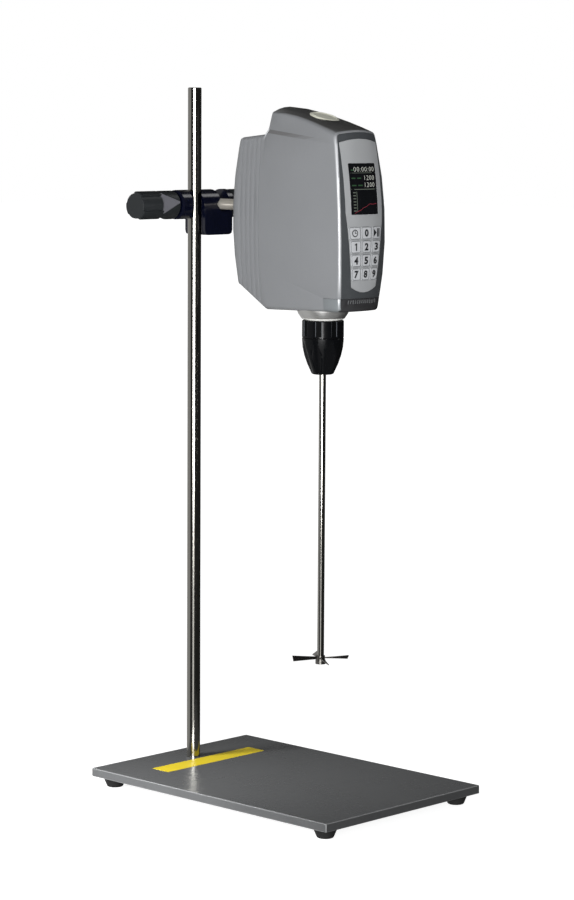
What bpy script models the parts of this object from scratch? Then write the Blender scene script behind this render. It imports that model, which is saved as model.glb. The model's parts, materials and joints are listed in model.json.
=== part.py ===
"""Overhead laboratory stirrer on a plate stand.

A heavy plate on rubber feet carries a round post. A cross clamp rides on the post and grips
the support rod of the drive head. The head holds a motor, a gear pair and a hollow spindle
with a keyless chuck, which turns a long shaft with a four bladed propeller.

Lengths are metres, Z points up and the front of the object faces -Y. The origin is the
middle of the plate at the level that the feet stand on.
"""

import math

import bmesh
import bpy
from mathutils import Matrix, Vector

# Clearances and small shared values
GAP = 0.0003
OVERRUN = 0.002
WELD = 0.00002
SHARP_ANGLE = math.radians(32)
ROUND_STEPS = 24
SMALL_STEPS = 12

# Stand
PLATE_WIDTH = 0.260
PLATE_DEPTH = 0.380
PLATE_THICKNESS = 0.010
PLATE_EDGE = 0.0008
FOOT_INSET = 0.0195
FOOT_HEIGHT = 0.0118
FOOT_TOP_RADIUS = 0.0130
FOOT_BASE_RADIUS = 0.0092
FOOT_EDGE = 0.0012
FOOT_SOCKET_RADIUS = 0.0050
FOOT_SOCKET_DEPTH = 0.0060
FOOT_SCREW_RADIUS = 0.0020
FOOT_SCREW_BITE = 0.0070
POST_INSET = 0.039
POST_SETBACK = PLATE_DEPTH / 2 - POST_INSET
POST_RADIUS = 0.0080
POST_HEIGHT = 0.800
POST_CHAMFER = 0.0010
POST_SEAT_DEPTH = 0.0045
POST_THREAD_RADIUS = 0.0030
POST_THREAD_DEPTH = 0.0160
POST_SCREW_HEAD_RADIUS = 0.0055
POST_SCREW_HEAD = 0.0030
PLATE_TOP = FOOT_HEIGHT + PLATE_THICKNESS

# Cross clamp, its place, and the rod it holds
CLAMP_HEIGHT = 0.6635
CLAMP_LEVEL = PLATE_TOP + CLAMP_HEIGHT
ROD_OFFSET = 0.030
ROD_RADIUS = 0.0065
ROD_TAIL = 0.010
ROD_CHAMFER = 0.0006
CLAMP_BARREL_RADIUS = 0.0172
CLAMP_BARREL_EDGE = 0.0020
JAW_ARM_REACH = 0.0340
JAW_ARM_FACE = 0.0120
JAW_ARM_SHOULDER = 0.0180
JAW_ARM_FRONT = 0.0085
JAW_LIP = 0.0010
JAW_BACK_WALL = 0.0095
BLOCK_REACH = 0.0465
BLOCK_DROP = 0.0361
BLOCK_CORNER = 0.0055
CHANNEL_LIP = 0.0270
CHANNEL_FLOOR = 0.0090
CHANNEL_WALL = 0.0420
ROD_ARM_REACH = 0.0520

# Clamp knobs and their screws
KNOB_RADIUS = 0.01675
KNOB_GRIP = 0.0320
KNOB_RAMP = 0.0275
KNOB_EDGE = 0.0025
KNOB_STANDOFF = 0.0025
KNOB_FLUTES = 3
KNOB_FLUTE_DEPTH = 0.0020
KNOB_FLUTE_HALF_ANGLE = math.radians(35)
KNOB_RAMP_DEPTH = 0.0055
KNOB_RAMP_HALF_ANGLE = math.radians(50)
KNOB_TURN = math.radians(13)
KNOB_SOCKET_DEPTH = 0.0280
KNOB_HUB_RADIUS = 0.0075
KNOB_HUB = 0.0015
CLAMP_SCREW_RADIUS = 0.0040
CLAMP_PAD_RADIUS = 0.0050
CLAMP_PAD = 0.0020

# Drive head: outline of the moulded housing
SPINDLE_REACH = 0.1808
ROD_LEVEL = 0.115
HEAD_HALF_WIDTH = 0.0392
SIDE_BOW = 0.0060
SIDE_BOW_HEIGHT = 0.103
FRONT_REACH = 0.0605
FRONT_BOW = 0.0092
FRONT_BOW_HEIGHT = 0.080
FRONT_BULGE = 0.0058
FRONT_BULGE_POWER = 2.5
REAR_REACH = 0.1094
REAR_BOW = 0.0100
REAR_BOW_HEIGHT = 0.104
REAR_BULGE = 0.0030
BOW_SPAN = 0.100
FRONT_TOP = 0.2005
HUMP_TOP = 0.2245
HUMP_REAR = 0.0555
HUMP_FOOT = 0.0572
HUMP_FOOT_RISE = 0.0091
SHOULDER_FRONT = 0.0600
SHOULDER_TOP = 0.1984
SHOULDER_FALL = 0.0055
FRONT_CROWN = 0.0024
REAR_CROWN = 0.0070
SHOULDER_CROWN = 0.0015
FLOOR_SLOPE_SHARE = 0.022
CHAMFER_START = 0.0608
CHAMFER_RISE = 0.026
LOWER_FILLET = 0.0045
UPPER_FILLET = 0.0065
HUMP_FILLET = 0.0040
SHOULDER_FILLET = 0.0045
CREASE_REAR = 0.2000
CREASE_FRONT = 0.1900
CREASE_START = -0.026
CREASE_STEP = 0.0032
CREASE_BAND = 0.0040
RIM_RADIUS = 0.0025
REAR_RADIUS = 0.0035
WALL = 0.0025
HULL_CENTRE = 0.105
STATION_SHARES = (0.10, 0.21, 0.32, 0.43, 0.56)
CAP_RING_SHARES = (0.35, 0.70)

# Drive head: how the housing is split
BEZEL_INSET = 0.0030
REAR_SEAM = 0.067
REAR_GROOVES = 4
REAR_GROOVE_PITCH = 0.0073
REAR_GROOVE_WIDTH = 0.0012
REAR_GROOVE_DEPTH = 0.0005
VENT_HEIGHT = 0.0147
VENT_REACH = 0.032
VENT_SLOTS = 14
VENT_SLOT_WIDTH = 0.0013
VENT_SLOT_PITCH = 0.0034
VENT_SLOT_LOW = 0.0090
VENT_SLOT_HIGH = 0.0132

# Front panel, display and keys
PANEL_HALF_WIDTH = 0.0302
PANEL_TOP = 0.1946
PANEL_TOP_ARCH = 0.0041
PANEL_TAPER_START = 0.112
PANEL_LOW_HALF_WIDTH = 0.0203
PANEL_LOW_EDGE = 0.028
PANEL_LOW_ARCH = 0.0063
PANEL_THICKNESS = 0.0025
WINDOW_WIDTH = 0.0443
WINDOW_LOW = 0.110
WINDOW_HIGH = 0.167
WINDOW_RECESS = 0.0003
WINDOW_THICKNESS = 0.0018
WINDOW_CORNER = 0.0010
KEY_ROWS = 4
KEY_COLUMNS = 3
KEY_NAMES = (("key_timer", "key_0", "key_start"), ("key_1", "key_2", "key_3"),
             ("key_4", "key_5", "key_6"), ("key_7", "key_8", "key_9"))
KEY_TOP_ROW = 0.0890
KEY_PITCH = 0.0155
KEY_HEIGHT = 0.0137
KEY_SPACING = 0.0016
KEY_MARGIN = 0.0012
KEY_CORNER = 0.0014
KEY_PROUD = 0.0006
KEY_DEPTH = 0.0018
MAT_STANDOFF = 0.0003
MAT_THICKNESS = 0.0012
MAT_MARGIN = 0.0015
BOARD_THICKNESS = 0.0016
BOARD_HALF_WIDTH = 0.027
BOARD_LOW = 0.037
BOARD_HIGH = 0.099
DISPLAY_WIDTH = 0.050
DISPLAY_HEIGHT = 0.066
DISPLAY_THICKNESS = 0.0032

# Drive frame, motor, gears and bearings
FRAME_HALF_WIDTH = 0.028
FRAME_THICKNESS = 0.0070
FRAME_FRONT = 0.028
FRAME_BEND = 0.047
FRAME_BACK = 0.094
FRAME_BACK_THICKNESS = 0.0080
FRAME_BACK_LOW = 0.034
FRAME_BACK_TOP = 0.148
FRAME_WINDOW_HALF_WIDTH = 0.0160
FRAME_WINDOW_LOW = 0.0395
FRAME_WINDOW_HIGH = 0.0890
PILLAR_RADIUS = 0.0040
PILLAR_OFFSET = 0.0240
PILLAR_REAR = 0.0500
DECK_LOW = 0.0440
DECK_THICKNESS = 0.0070
DECK_CORNER = 0.0040
DECK_BACK = 0.0800
GEAR_MODULE = 0.0010
GEAR_ROOT_SHARE = 1.25
PINION_TEETH = 18
GEAR_TEETH = 54
GEAR_LOW = 0.0220
GEAR_WIDTH = 0.0080
GEAR_BACKLASH = 0.00060
GEAR_HUB_RADIUS = 0.0120
GEAR_HUB = 0.0050
PRESSURE_ANGLE = math.radians(20)
SHAFT_DISTANCE = GEAR_MODULE * (PINION_TEETH + GEAR_TEETH) / 2
MOTOR_RADIUS = 0.0240
MOTOR_LENGTH = 0.0720
MOTOR_WALL = 0.0030
MOTOR_BORE_RADIUS = 0.0140
MOTOR_EDGE = 0.0015
ROTOR_RADIUS = 0.0132
ROTOR_LENGTH = 0.0560
ROTOR_SHAFT_RADIUS = 0.0030
PINION_OVERHANG = 0.0020
SPINDLE_RADIUS = 0.0075
SPINDLE_BORE_RADIUS = 0.0053
SPINDLE_TOP = 0.1960
SPINDLE_DROP = 0.0320
BEARING_RADIUS = 0.0140
BEARING_WIDTH = 0.0070
BEARING_GROOVE = 0.0008
BEARING_LAND = 0.0028

# Neck, chuck and stirring shaft
NECK_TOP_RADIUS = 0.0303
NECK_LOW_RADIUS = 0.0242
NECK_HEIGHT = 0.0118
NECK_CURVE_SHARES = ((0.22, 0.50), (0.62, 0.82))
NECK_RING = 0.0010
NECK_RING_RADIUS = 0.0205
NECK_BORE_RADIUS = 0.0100
NECK_SPIGOT_RADIUS = 0.0145
CHUCK_RADIUS = 0.0242
CHUCK_TOP = 0.0131
CHUCK_SPLIT = 0.0332
CHUCK_NOSE = 0.0755
CHUCK_NOSE_RADIUS = 0.0134
CHUCK_NOSE_ROUNDING = 0.0022
CHUCK_STRAIGHT = 0.0345
CHUCK_CURVE_POWER = 1.85
CHUCK_EDGE = 0.0010
CHUCK_LIP = 0.0016
CHUCK_GROOVES = 8
CHUCK_GROOVE_DEPTH = 0.0010
CHUCK_GROOVE_SHARE = 0.37
CHUCK_GROOVE_TURN = math.radians(31)
CHUCK_FLUTES = 8
CHUCK_FLUTE_WIDTH = 0.0230
CHUCK_FLUTE_START = 0.0365
CHUCK_FLUTE_SLOPE = math.radians(17)
CHUCK_FLUTE_STEPS = 28
CHUCK_CURVE_SHARES = (0, 0.25, 0.50, 0.75, 1)
CHUCK_CORE_RADIUS = 0.0190
CHUCK_CORE_STRAIGHT = 0.0460
CHUCK_NOSE_GAP = 0.0008
JAW_RADIUS = 0.0028
JAW_LENGTH = 0.0260
JAW_TILT = math.radians(15)
JAW_COUNT = 3
JAW_NOSE_RADIUS = 0.0050
JAW_NOSE_LEVEL = 0.0738
JAW_BORE_EXTRA = 0.0070
STIRRER_RADIUS = 0.0040
STIRRER_LENGTH = 0.400
STIRRER_DROP = 0.0143
STIRRER_CHAMFER = 0.0004
PROPELLER_RADIUS = 0.0328
PROPELLER_HUB_RADIUS = 0.0060
PROPELLER_HUB = 0.0044
PROPELLER_SLEEVE_RADIUS = 0.0053
PROPELLER_SLEEVE = 0.0095
PROPELLER_BLADES = 4
PROPELLER_TURN = math.radians(-36)
BLADE_ROOT_WIDTH = 0.0050
BLADE_TIP_WIDTH = 0.0086
BLADE_THICKNESS = 0.0010
BLADE_ROOT_PITCH = math.radians(-18)
BLADE_TIP_PITCH = math.radians(-35)
BLADE_STEPS = 4

# Cap over the spindle's upper end
CAP_RADIUS = 0.0176
CAP_HOLE_RADIUS = 0.0140
CAP_RIM = 0.0016
CAP_PLUG = 0.0060
CAP_CROWN = 0.0014
CAP_CROWN_SHARES = (0.55, 0.70)
CAP_LIFT_SEAT = 0.0004
CAP_TILT = math.radians(18)
CAP_SINK = 0.0030

# Rear fittings
FLANGE_RADIUS = 0.0180
FLANGE_WIDTH = 0.0090
FLANGE_SPIGOT_RADIUS = 0.0120
FLANGE_EDGE = 0.0012
FLANGE_SCREWS = 3
FLANGE_SCREW_CIRCLE = 0.0135
FLANGE_SCREW_RADIUS = 0.0020
PANEL_PLATE_WIDTH = 0.046
PANEL_PLATE_LOW = 0.036
PANEL_PLATE_HIGH = 0.094
PANEL_PLATE_THICKNESS = 0.0025
PANEL_PLATE_FACE = 0.1035
PANEL_PLATE_CORNER = 0.0030
INLET_LEVEL = 0.0520
INLET_WIDTH = 0.0300
INLET_HEIGHT = 0.0240
INLET_FLANGE = 0.0018
INLET_BODY_WIDTH = 0.0270
INLET_BODY_HEIGHT = 0.0195
INLET_BODY_DEPTH = 0.0200
INLET_SOCKET_WIDTH = 0.0240
INLET_SOCKET_HEIGHT = 0.0165
INLET_SOCKET_DEPTH = 0.0165
INLET_SOCKET_CORNER = 0.0045
INLET_PIN_SPREAD = 0.0070
INLET_PIN_WIDTH = 0.0020
INLET_PIN_HEIGHT = 0.0040
INLET_PIN_LENGTH = 0.0130
INLET_PIN_RAISE = 0.0026
SWITCH_LEVEL = 0.0800
SWITCH_WIDTH = 0.0250
SWITCH_HEIGHT = 0.0150
SWITCH_FRAME = 0.0016
SWITCH_FLANGE = 0.0016
SWITCH_DEPTH = 0.0120
ROCKER_THROW = math.radians(7)
ROCKER_END_GAP = 0.0010
ROCKER_PROUD = 0.0003
ROCKER_BELLY = 0.0025
ROCKER_EDGE = 0.0005
ROCKER_AXLE_DEPTH = 0.0050
SCREW_SHANK_RADIUS = 0.0014
REAR_SCREW_SPREAD = 0.0280
REAR_SCREW_LOW = 0.044
REAR_SCREW_HIGH = 0.172

# Colours
FINISHES = {
    "stainless_steel": ((0.38, 0.38, 0.37), 0.32, 1.0),
    "polished_steel": ((0.62, 0.61, 0.58), 0.18, 1.0),
    "zinc_screw": ((0.55, 0.55, 0.53), 0.35, 1.0),
    "black_rubber": ((0.012, 0.012, 0.013), 0.75, 0.0),
    "navy_enamel": ((0.006, 0.010, 0.040), 0.30, 0.0),
    "black_plastic": ((0.020, 0.022, 0.024), 0.50, 0.0),
    "silver_housing": ((0.27, 0.275, 0.285), 0.45, 0.3),
    "grey_bezel": ((0.10, 0.105, 0.11), 0.45, 0.3),
    "light_panel": ((0.42, 0.43, 0.44), 0.50, 0.0),
    "display_glass": ((0.006, 0.006, 0.008), 0.10, 0.0),
    "key_skin": ((0.45, 0.46, 0.47), 0.50, 0.0),
    "cast_aluminium": ((0.50, 0.50, 0.51), 0.45, 1.0),
    "satin_aluminium": ((0.55, 0.55, 0.53), 0.38, 1.0),
    "gear_steel": ((0.40, 0.40, 0.41), 0.35, 1.0),
    "cream_plastic": ((0.62, 0.61, 0.50), 0.45, 0.0),
    "board_green": ((0.02, 0.12, 0.05), 0.50, 0.0),
    "silicone": ((0.30, 0.30, 0.31), 0.70, 0.0),
}


def clear_scene():
    """Removes every object, so that the file holds the model alone."""
    for thing in list(bpy.data.objects):
        bpy.data.objects.remove(thing, do_unlink=True)


clear_scene()
PARTS = bpy.data.collections.new("overhead_stirrer")
CUTTERS = bpy.data.collections.new("cutters")
bpy.context.scene.collection.children.link(PARTS)
bpy.context.scene.collection.children.link(CUTTERS)
MATERIALS = {}


def finish(name):
    """Returns the material of one finish, made when it is first asked for."""
    if name not in MATERIALS:
        colour, roughness, metallic = FINISHES[name]
        made = bpy.data.materials.new(name)
        made.use_nodes = True
        shader = made.node_tree.nodes["Principled BSDF"]
        shader.inputs["Base Color"].default_value = (*colour, 1.0)
        shader.inputs["Roughness"].default_value = roughness
        shader.inputs["Metallic"].default_value = metallic
        MATERIALS[name] = made
    return MATERIALS[name]


# Ways of making and cutting a shape

PLANES = {
    "XY": Matrix.Identity(4),
    "XZ": Matrix(((1, 0, 0, 0), (0, 0, -1, 0), (0, 1, 0, 0), (0, 0, 0, 1))),
    "YZ": Matrix(((0, 0, 1, 0), (1, 0, 0, 0), (0, 1, 0, 0), (0, 0, 0, 1))),
}
PLANE_NORMALS = {"XY": Vector((0, 0, 1)), "XZ": Vector((0, 1, 0)), "YZ": Vector((1, 0, 0))}
FACING = {
    "+X": Matrix.Rotation(math.radians(90), 4, "Y"),
    "-X": Matrix.Rotation(math.radians(-90), 4, "Y"),
    "+Y": Matrix.Rotation(math.radians(-90), 4, "X"),
    "-Y": Matrix.Rotation(math.radians(90), 4, "X"),
    "+Z": Matrix.Identity(4),
}


def place(name, parent, location=(0, 0, 0)):
    """Adds an empty that other pieces hang on, such as a joint's axis."""
    empty = bpy.data.objects.new(name, None)
    PARTS.objects.link(empty)
    empty.parent = parent
    empty.location = location
    return empty


def piece(name, mesh, surface, parent, location=(0, 0, 0)):
    """Adds one named sub-part of the object."""
    made = bpy.data.objects.new(name, mesh)
    PARTS.objects.link(made)
    made.data.materials.clear()
    made.data.materials.append(finish(surface))
    made.parent = parent
    made.location = location
    return made


def cutter(name, mesh, parent, location=(0, 0, 0)):
    """Adds a shape that only cuts or trims other shapes."""
    made = bpy.data.objects.new(name, mesh)
    CUTTERS.objects.link(made)
    made.parent = parent
    made.location = location
    made.hide_render = True
    made.display_type = "WIRE"
    return made


def boolean(target, other, operation):
    """Cuts, joins or trims one shape by another."""
    step = target.modifiers.new(operation.lower(), "BOOLEAN")
    step.solver = "EXACT"
    step.operation = operation
    step.object = other


def cut(target, *cutters):
    """Takes the cutters' space out of a shape."""
    for other in cutters:
        boolean(target, other, "DIFFERENCE")


def mesh_from(bm, name):
    """Turns a bmesh of one solid into a mesh whose faces point outwards."""
    bmesh.ops.recalc_face_normals(bm, faces=bm.faces[:])
    if bm.calc_volume(signed=True) < 0:
        bmesh.ops.reverse_faces(bm, faces=bm.faces[:])
    return stored(bm, name)


def stored(bm, name):
    """Writes a bmesh into a new mesh as it is."""
    mesh = bpy.data.meshes.new(name)
    bm.to_mesh(mesh)
    bm.free()
    return mesh


def prism(name, outlines, start, end, plane):
    """Extrudes flat outlines from start to end along the normal of their plane."""
    curve = bpy.data.curves.new(name, "CURVE")
    curve.dimensions = "2D"
    curve.fill_mode = "BOTH"
    curve.extrude = (end - start) / 2
    for outline in outlines:
        spline = curve.splines.new("POLY")
        spline.points.add(len(outline) - 1)
        for point, (across, up) in zip(spline.points, outline):
            point.co = (across, up, 0, 1)
        spline.use_cyclic_u = True
    draft = bpy.data.objects.new(name, curve)
    CUTTERS.objects.link(draft)
    graph = bpy.context.evaluated_depsgraph_get()
    mesh = bpy.data.meshes.new_from_object(draft.evaluated_get(graph))
    bpy.data.objects.remove(draft, do_unlink=True)
    bm = bmesh.new()
    bm.from_mesh(mesh)
    bmesh.ops.remove_doubles(bm, verts=bm.verts[:], dist=WELD)
    middle = PLANE_NORMALS[plane] * (start + end) / 2
    bm.transform(Matrix.Translation(middle) @ PLANES[plane])
    bpy.data.meshes.remove(mesh)
    return mesh_from(bm, name)


def cylinder(name, radius, start, end, facing="+Z", centre=(0, 0, 0), steps=ROUND_STEPS):
    """Makes a round bar from start to end along the way it faces."""
    bm = bmesh.new()
    bmesh.ops.create_cone(bm, cap_ends=True, segments=steps, radius1=radius, radius2=radius,
                          depth=end - start)
    bm.transform(Matrix.Translation(Vector((0, 0, (start + end) / 2))))
    bm.transform(Matrix.Translation(Vector(centre)) @ FACING[facing])
    return mesh_from(bm, name)


def block(name, low, high, edge=0.0):
    """Makes a box between two corners, with its edges rounded if asked."""
    low, high = Vector(low), Vector(high)
    size = high - low
    bm = bmesh.new()
    bmesh.ops.create_cube(bm, size=1)
    bmesh.ops.scale(bm, vec=size, verts=bm.verts[:])
    bmesh.ops.translate(bm, vec=(low + high) / 2, verts=bm.verts[:])
    if edge > 0:
        bmesh.ops.bevel(bm, geom=bm.edges[:], offset=edge, segments=1, affect="EDGES")
    return mesh_from(bm, name)


def joined(name, meshes):
    """Puts several meshes into one, each still its own solid."""
    bm = bmesh.new()
    for mesh in meshes:
        bm.from_mesh(mesh)
    return stored(bm, name)


def turned(name, profile, surface, parent, location=(0, 0, 0), facing="+Z", steps=ROUND_STEPS):
    """Turns a profile of (radius, height) points, given down the outer side, about an axis."""
    mesh = bpy.data.meshes.new(name)
    points = [(radius, 0, height) for radius, height in profile]
    closed = profile[0][0] > 0
    edges = [(index, index + 1) for index in range(len(points) - 1)]
    if closed:
        edges.append((len(points) - 1, 0))
    mesh.from_pydata(points, edges, [])
    if surface is None:
        made = cutter(name, mesh, parent, location)
    else:
        made = piece(name, mesh, surface, parent, location)
    made.rotation_euler = FACING[facing].to_euler()
    spin = made.modifiers.new("spin", "SCREW")
    spin.steps = steps
    spin.render_steps = steps
    spin.use_merge_vertices = True
    spin.merge_threshold = WELD
    spin.use_smooth_shade = True
    return made


def rounded(corners, radius, steps=2):
    """Rounds each corner of a closed outline by an arc of the given radius."""
    points = []
    count = len(corners)
    for index, corner in enumerate(corners):
        here = Vector(corner)
        back = Vector(corners[index - 1]) - here
        ahead = Vector(corners[(index + 1) % count]) - here
        angle = back.angle(ahead)
        run = radius / math.tan(angle / 2)
        run = min(run, back.length / 2, ahead.length / 2)
        first = here + back.normalized() * run
        last = here + ahead.normalized() * run
        for step in range(steps + 1):
            share = step / steps
            point = first.lerp(here, share).lerp(here.lerp(last, share), share)
            points.append((point.x, point.y))
    return points


def bake(thing):
    """Settles a piece's modifiers into its mesh and smooths its round faces."""
    graph = bpy.context.evaluated_depsgraph_get()
    mesh = bpy.data.meshes.new_from_object(thing.evaluated_get(graph))
    mesh.name = thing.name
    thing.modifiers.clear()
    thing.data = mesh
    mesh.shade_smooth()
    mesh.set_sharp_from_angle(angle=SHARP_ANGLE)


# Stand: plate, feet, post

stand = place("stand_place", None)


def foot_places():
    """The four corners where the feet sit, with each foot's name."""
    across = PLATE_WIDTH / 2 - FOOT_INSET
    along = PLATE_DEPTH / 2 - FOOT_INSET
    return {
        "foot_front_left": (-across, -along),
        "foot_front_right": (across, -along),
        "foot_rear_left": (-across, along),
        "foot_rear_right": (across, along),
    }


def make_plate():
    """The heavy plate, drilled for the post's screw and for the feet."""
    half_x, half_y = PLATE_WIDTH / 2, PLATE_DEPTH / 2
    mesh = block("base_plate", (-half_x, -half_y, FOOT_HEIGHT), (half_x, half_y, PLATE_TOP),
                 PLATE_EDGE)
    plate = piece("base_plate", mesh, "stainless_steel", stand)
    seat_floor = PLATE_TOP - POST_SEAT_DEPTH
    drills = [
        cylinder("post_seat", POST_RADIUS + GAP, seat_floor, PLATE_TOP + OVERRUN,
                 centre=(0, POST_SETBACK, 0)),
        cylinder("post_screw_hole", POST_THREAD_RADIUS + GAP, FOOT_HEIGHT - OVERRUN,
                 seat_floor + OVERRUN, centre=(0, POST_SETBACK, 0), steps=SMALL_STEPS),
        cylinder("post_screw_recess", POST_SCREW_HEAD_RADIUS + GAP, FOOT_HEIGHT - OVERRUN,
                 FOOT_HEIGHT + POST_SCREW_HEAD + GAP, centre=(0, POST_SETBACK, 0),
                 steps=SMALL_STEPS),
    ]
    for across, along in foot_places().values():
        drills.append(cylinder("foot_screw_hole", FOOT_SCREW_RADIUS + GAP,
                               FOOT_HEIGHT - OVERRUN, FOOT_HEIGHT + FOOT_SCREW_BITE + GAP,
                               centre=(across, along, 0), steps=SMALL_STEPS))
    for index, mesh in enumerate(drills):
        cut(plate, cutter(f"plate_drill_{index}", mesh, stand))


def make_feet():
    """Four tapered rubber feet, each with a sunk seat for the screw that holds it."""
    for name, (across, along) in foot_places().items():
        top = FOOT_HEIGHT - GAP
        profile = (
            (FOOT_TOP_RADIUS, top),
            (FOOT_TOP_RADIUS, top - FOOT_EDGE),
            (FOOT_BASE_RADIUS, FOOT_EDGE),
            (FOOT_BASE_RADIUS - FOOT_EDGE, 0),
            (FOOT_SOCKET_RADIUS, 0),
            (FOOT_SOCKET_RADIUS, FOOT_SOCKET_DEPTH),
            (FOOT_SCREW_RADIUS + GAP, FOOT_SOCKET_DEPTH),
            (FOOT_SCREW_RADIUS + GAP, top),
        )
        turned(name, profile, "black_rubber", stand, (across, along, 0), steps=14)


def make_post():
    """The round post, seated in the plate and drawn down by a screw from below."""
    foot = PLATE_TOP - POST_SEAT_DEPTH + GAP
    top = PLATE_TOP + POST_HEIGHT
    profile = (
        (0, top),
        (POST_RADIUS - POST_CHAMFER, top),
        (POST_RADIUS, top - POST_CHAMFER),
        (POST_RADIUS, foot),
        (POST_THREAD_RADIUS + GAP, foot),
        (POST_THREAD_RADIUS + GAP, foot + POST_THREAD_DEPTH + GAP),
        (0, foot + POST_THREAD_DEPTH + GAP),
    )
    turned("support_post", profile, "stainless_steel", post_axis)
    head_top = FOOT_HEIGHT + POST_SCREW_HEAD
    profile = (
        (0, foot + POST_THREAD_DEPTH),
        (POST_THREAD_RADIUS, foot + POST_THREAD_DEPTH),
        (POST_THREAD_RADIUS, head_top),
        (POST_SCREW_HEAD_RADIUS, head_top),
        (POST_SCREW_HEAD_RADIUS, FOOT_HEIGHT + GAP),
        (0, FOOT_HEIGHT + GAP),
    )
    turned("post_screw", profile, "zinc_screw", stand, (0, POST_SETBACK, 0), steps=SMALL_STEPS)


post_axis = place("post_axis", stand, (0, POST_SETBACK, 0))
make_plate()
make_feet()
make_post()


# Cross clamp: one casting with a jaw for the post and a channel for the rod

clamp = place("clamp_place", post_axis, (0, 0, CLAMP_LEVEL))


def make_clamp_body():
    """The casting: a barrel along X with a square block under its right half.

    The barrel is cut open to the front for the post and open upwards for the rod, and each
    opening ends in a groove with two slanted faces that the round bar is pressed into.
    """
    edge, radius = CLAMP_BARREL_EDGE, CLAMP_BARREL_RADIUS
    profile = (
        (0, ROD_ARM_REACH), (radius - edge, ROD_ARM_REACH), (radius, ROD_ARM_REACH - edge),
        (radius, edge - JAW_ARM_REACH), (radius - edge, -JAW_ARM_REACH), (0, -JAW_ARM_REACH),
    )
    body = turned("clamp_body", profile, "navy_enamel", clamp, facing="+X")
    corners = ((JAW_LIP, -BLOCK_DROP), (BLOCK_REACH, -BLOCK_DROP), (BLOCK_REACH, 0), (JAW_LIP, 0))
    foot = rounded(corners, BLOCK_CORNER)
    reach = radius * math.cos(math.pi / ROUND_STEPS) - GAP
    boolean(body, cutter("clamp_block", prism("clamp_block", [foot], -reach, reach, "XZ"), clamp),
            "UNION")
    over = radius + OVERRUN
    groove = (POST_RADIUS + GAP) * math.sqrt(2)
    rise = groove - JAW_LIP
    post_room = (
        (-JAW_ARM_SHOULDER, -over), (-JAW_ARM_SHOULDER, -JAW_ARM_FRONT),
        (-JAW_ARM_FACE, -JAW_ARM_FRONT), (-JAW_ARM_FACE, JAW_BACK_WALL),
        (JAW_LIP - OVERRUN, JAW_BACK_WALL), (JAW_LIP - OVERRUN, rise + OVERRUN), (groove, 0),
        (JAW_LIP - OVERRUN, -rise - OVERRUN), (JAW_LIP - OVERRUN, -over),
    )
    tool = prism("post_room", [post_room], -BLOCK_DROP - OVERRUN, over, "XY")
    cut(body, cutter("post_room", tool, clamp))
    apex = ROD_OFFSET - (ROD_RADIUS + GAP) * math.sqrt(2)
    rise = CHANNEL_LIP - apex
    rod_room = (
        (apex, 0), (CHANNEL_LIP, -rise), (CHANNEL_LIP, -CHANNEL_FLOOR),
        (CHANNEL_WALL, -CHANNEL_FLOOR), (CHANNEL_WALL, over), (CHANNEL_LIP, over),
        (CHANNEL_LIP, rise),
    )
    cut(body, cutter("rod_room", prism("rod_room", [rod_room], -over, over, "XZ"), clamp))
    hole = CLAMP_SCREW_RADIUS + GAP
    left = cylinder("post_screw_thread", hole, -JAW_ARM_REACH - OVERRUN,
                    -JAW_ARM_FACE + OVERRUN, "+X", steps=SMALL_STEPS)
    right = cylinder("rod_screw_thread", hole, CHANNEL_WALL - OVERRUN,
                     ROD_ARM_REACH + OVERRUN, "+X", steps=SMALL_STEPS)
    cut(body, cutter("screw_threads", joined("screw_threads", [left, right]), clamp))


def ramp_wedge(middle, inner, flat, over, half_chord):
    """The tapering recess between a knob's flute and its base, three cornered seen from outside."""
    bm = bmesh.new()
    bmesh.ops.create_cone(bm, cap_ends=True, segments=3, radius1=1, radius2=1, depth=1)
    for vertex in bm.verts:
        low = vertex.co.z < 0
        angle = math.atan2(vertex.co.x, vertex.co.y)
        side = 0 if abs(angle) < 1 else math.copysign(half_chord, angle)
        tip = side == 0
        bottom = KNOB_RADIUS if tip else flat
        vertex.co = (bottom if low else over + OVERRUN, side,
                     inner if tip else inner + KNOB_RAMP + GAP)
    bm.transform(Matrix.Rotation(middle, 4, "Z"))
    return mesh_from(bm, "ramp")


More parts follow.
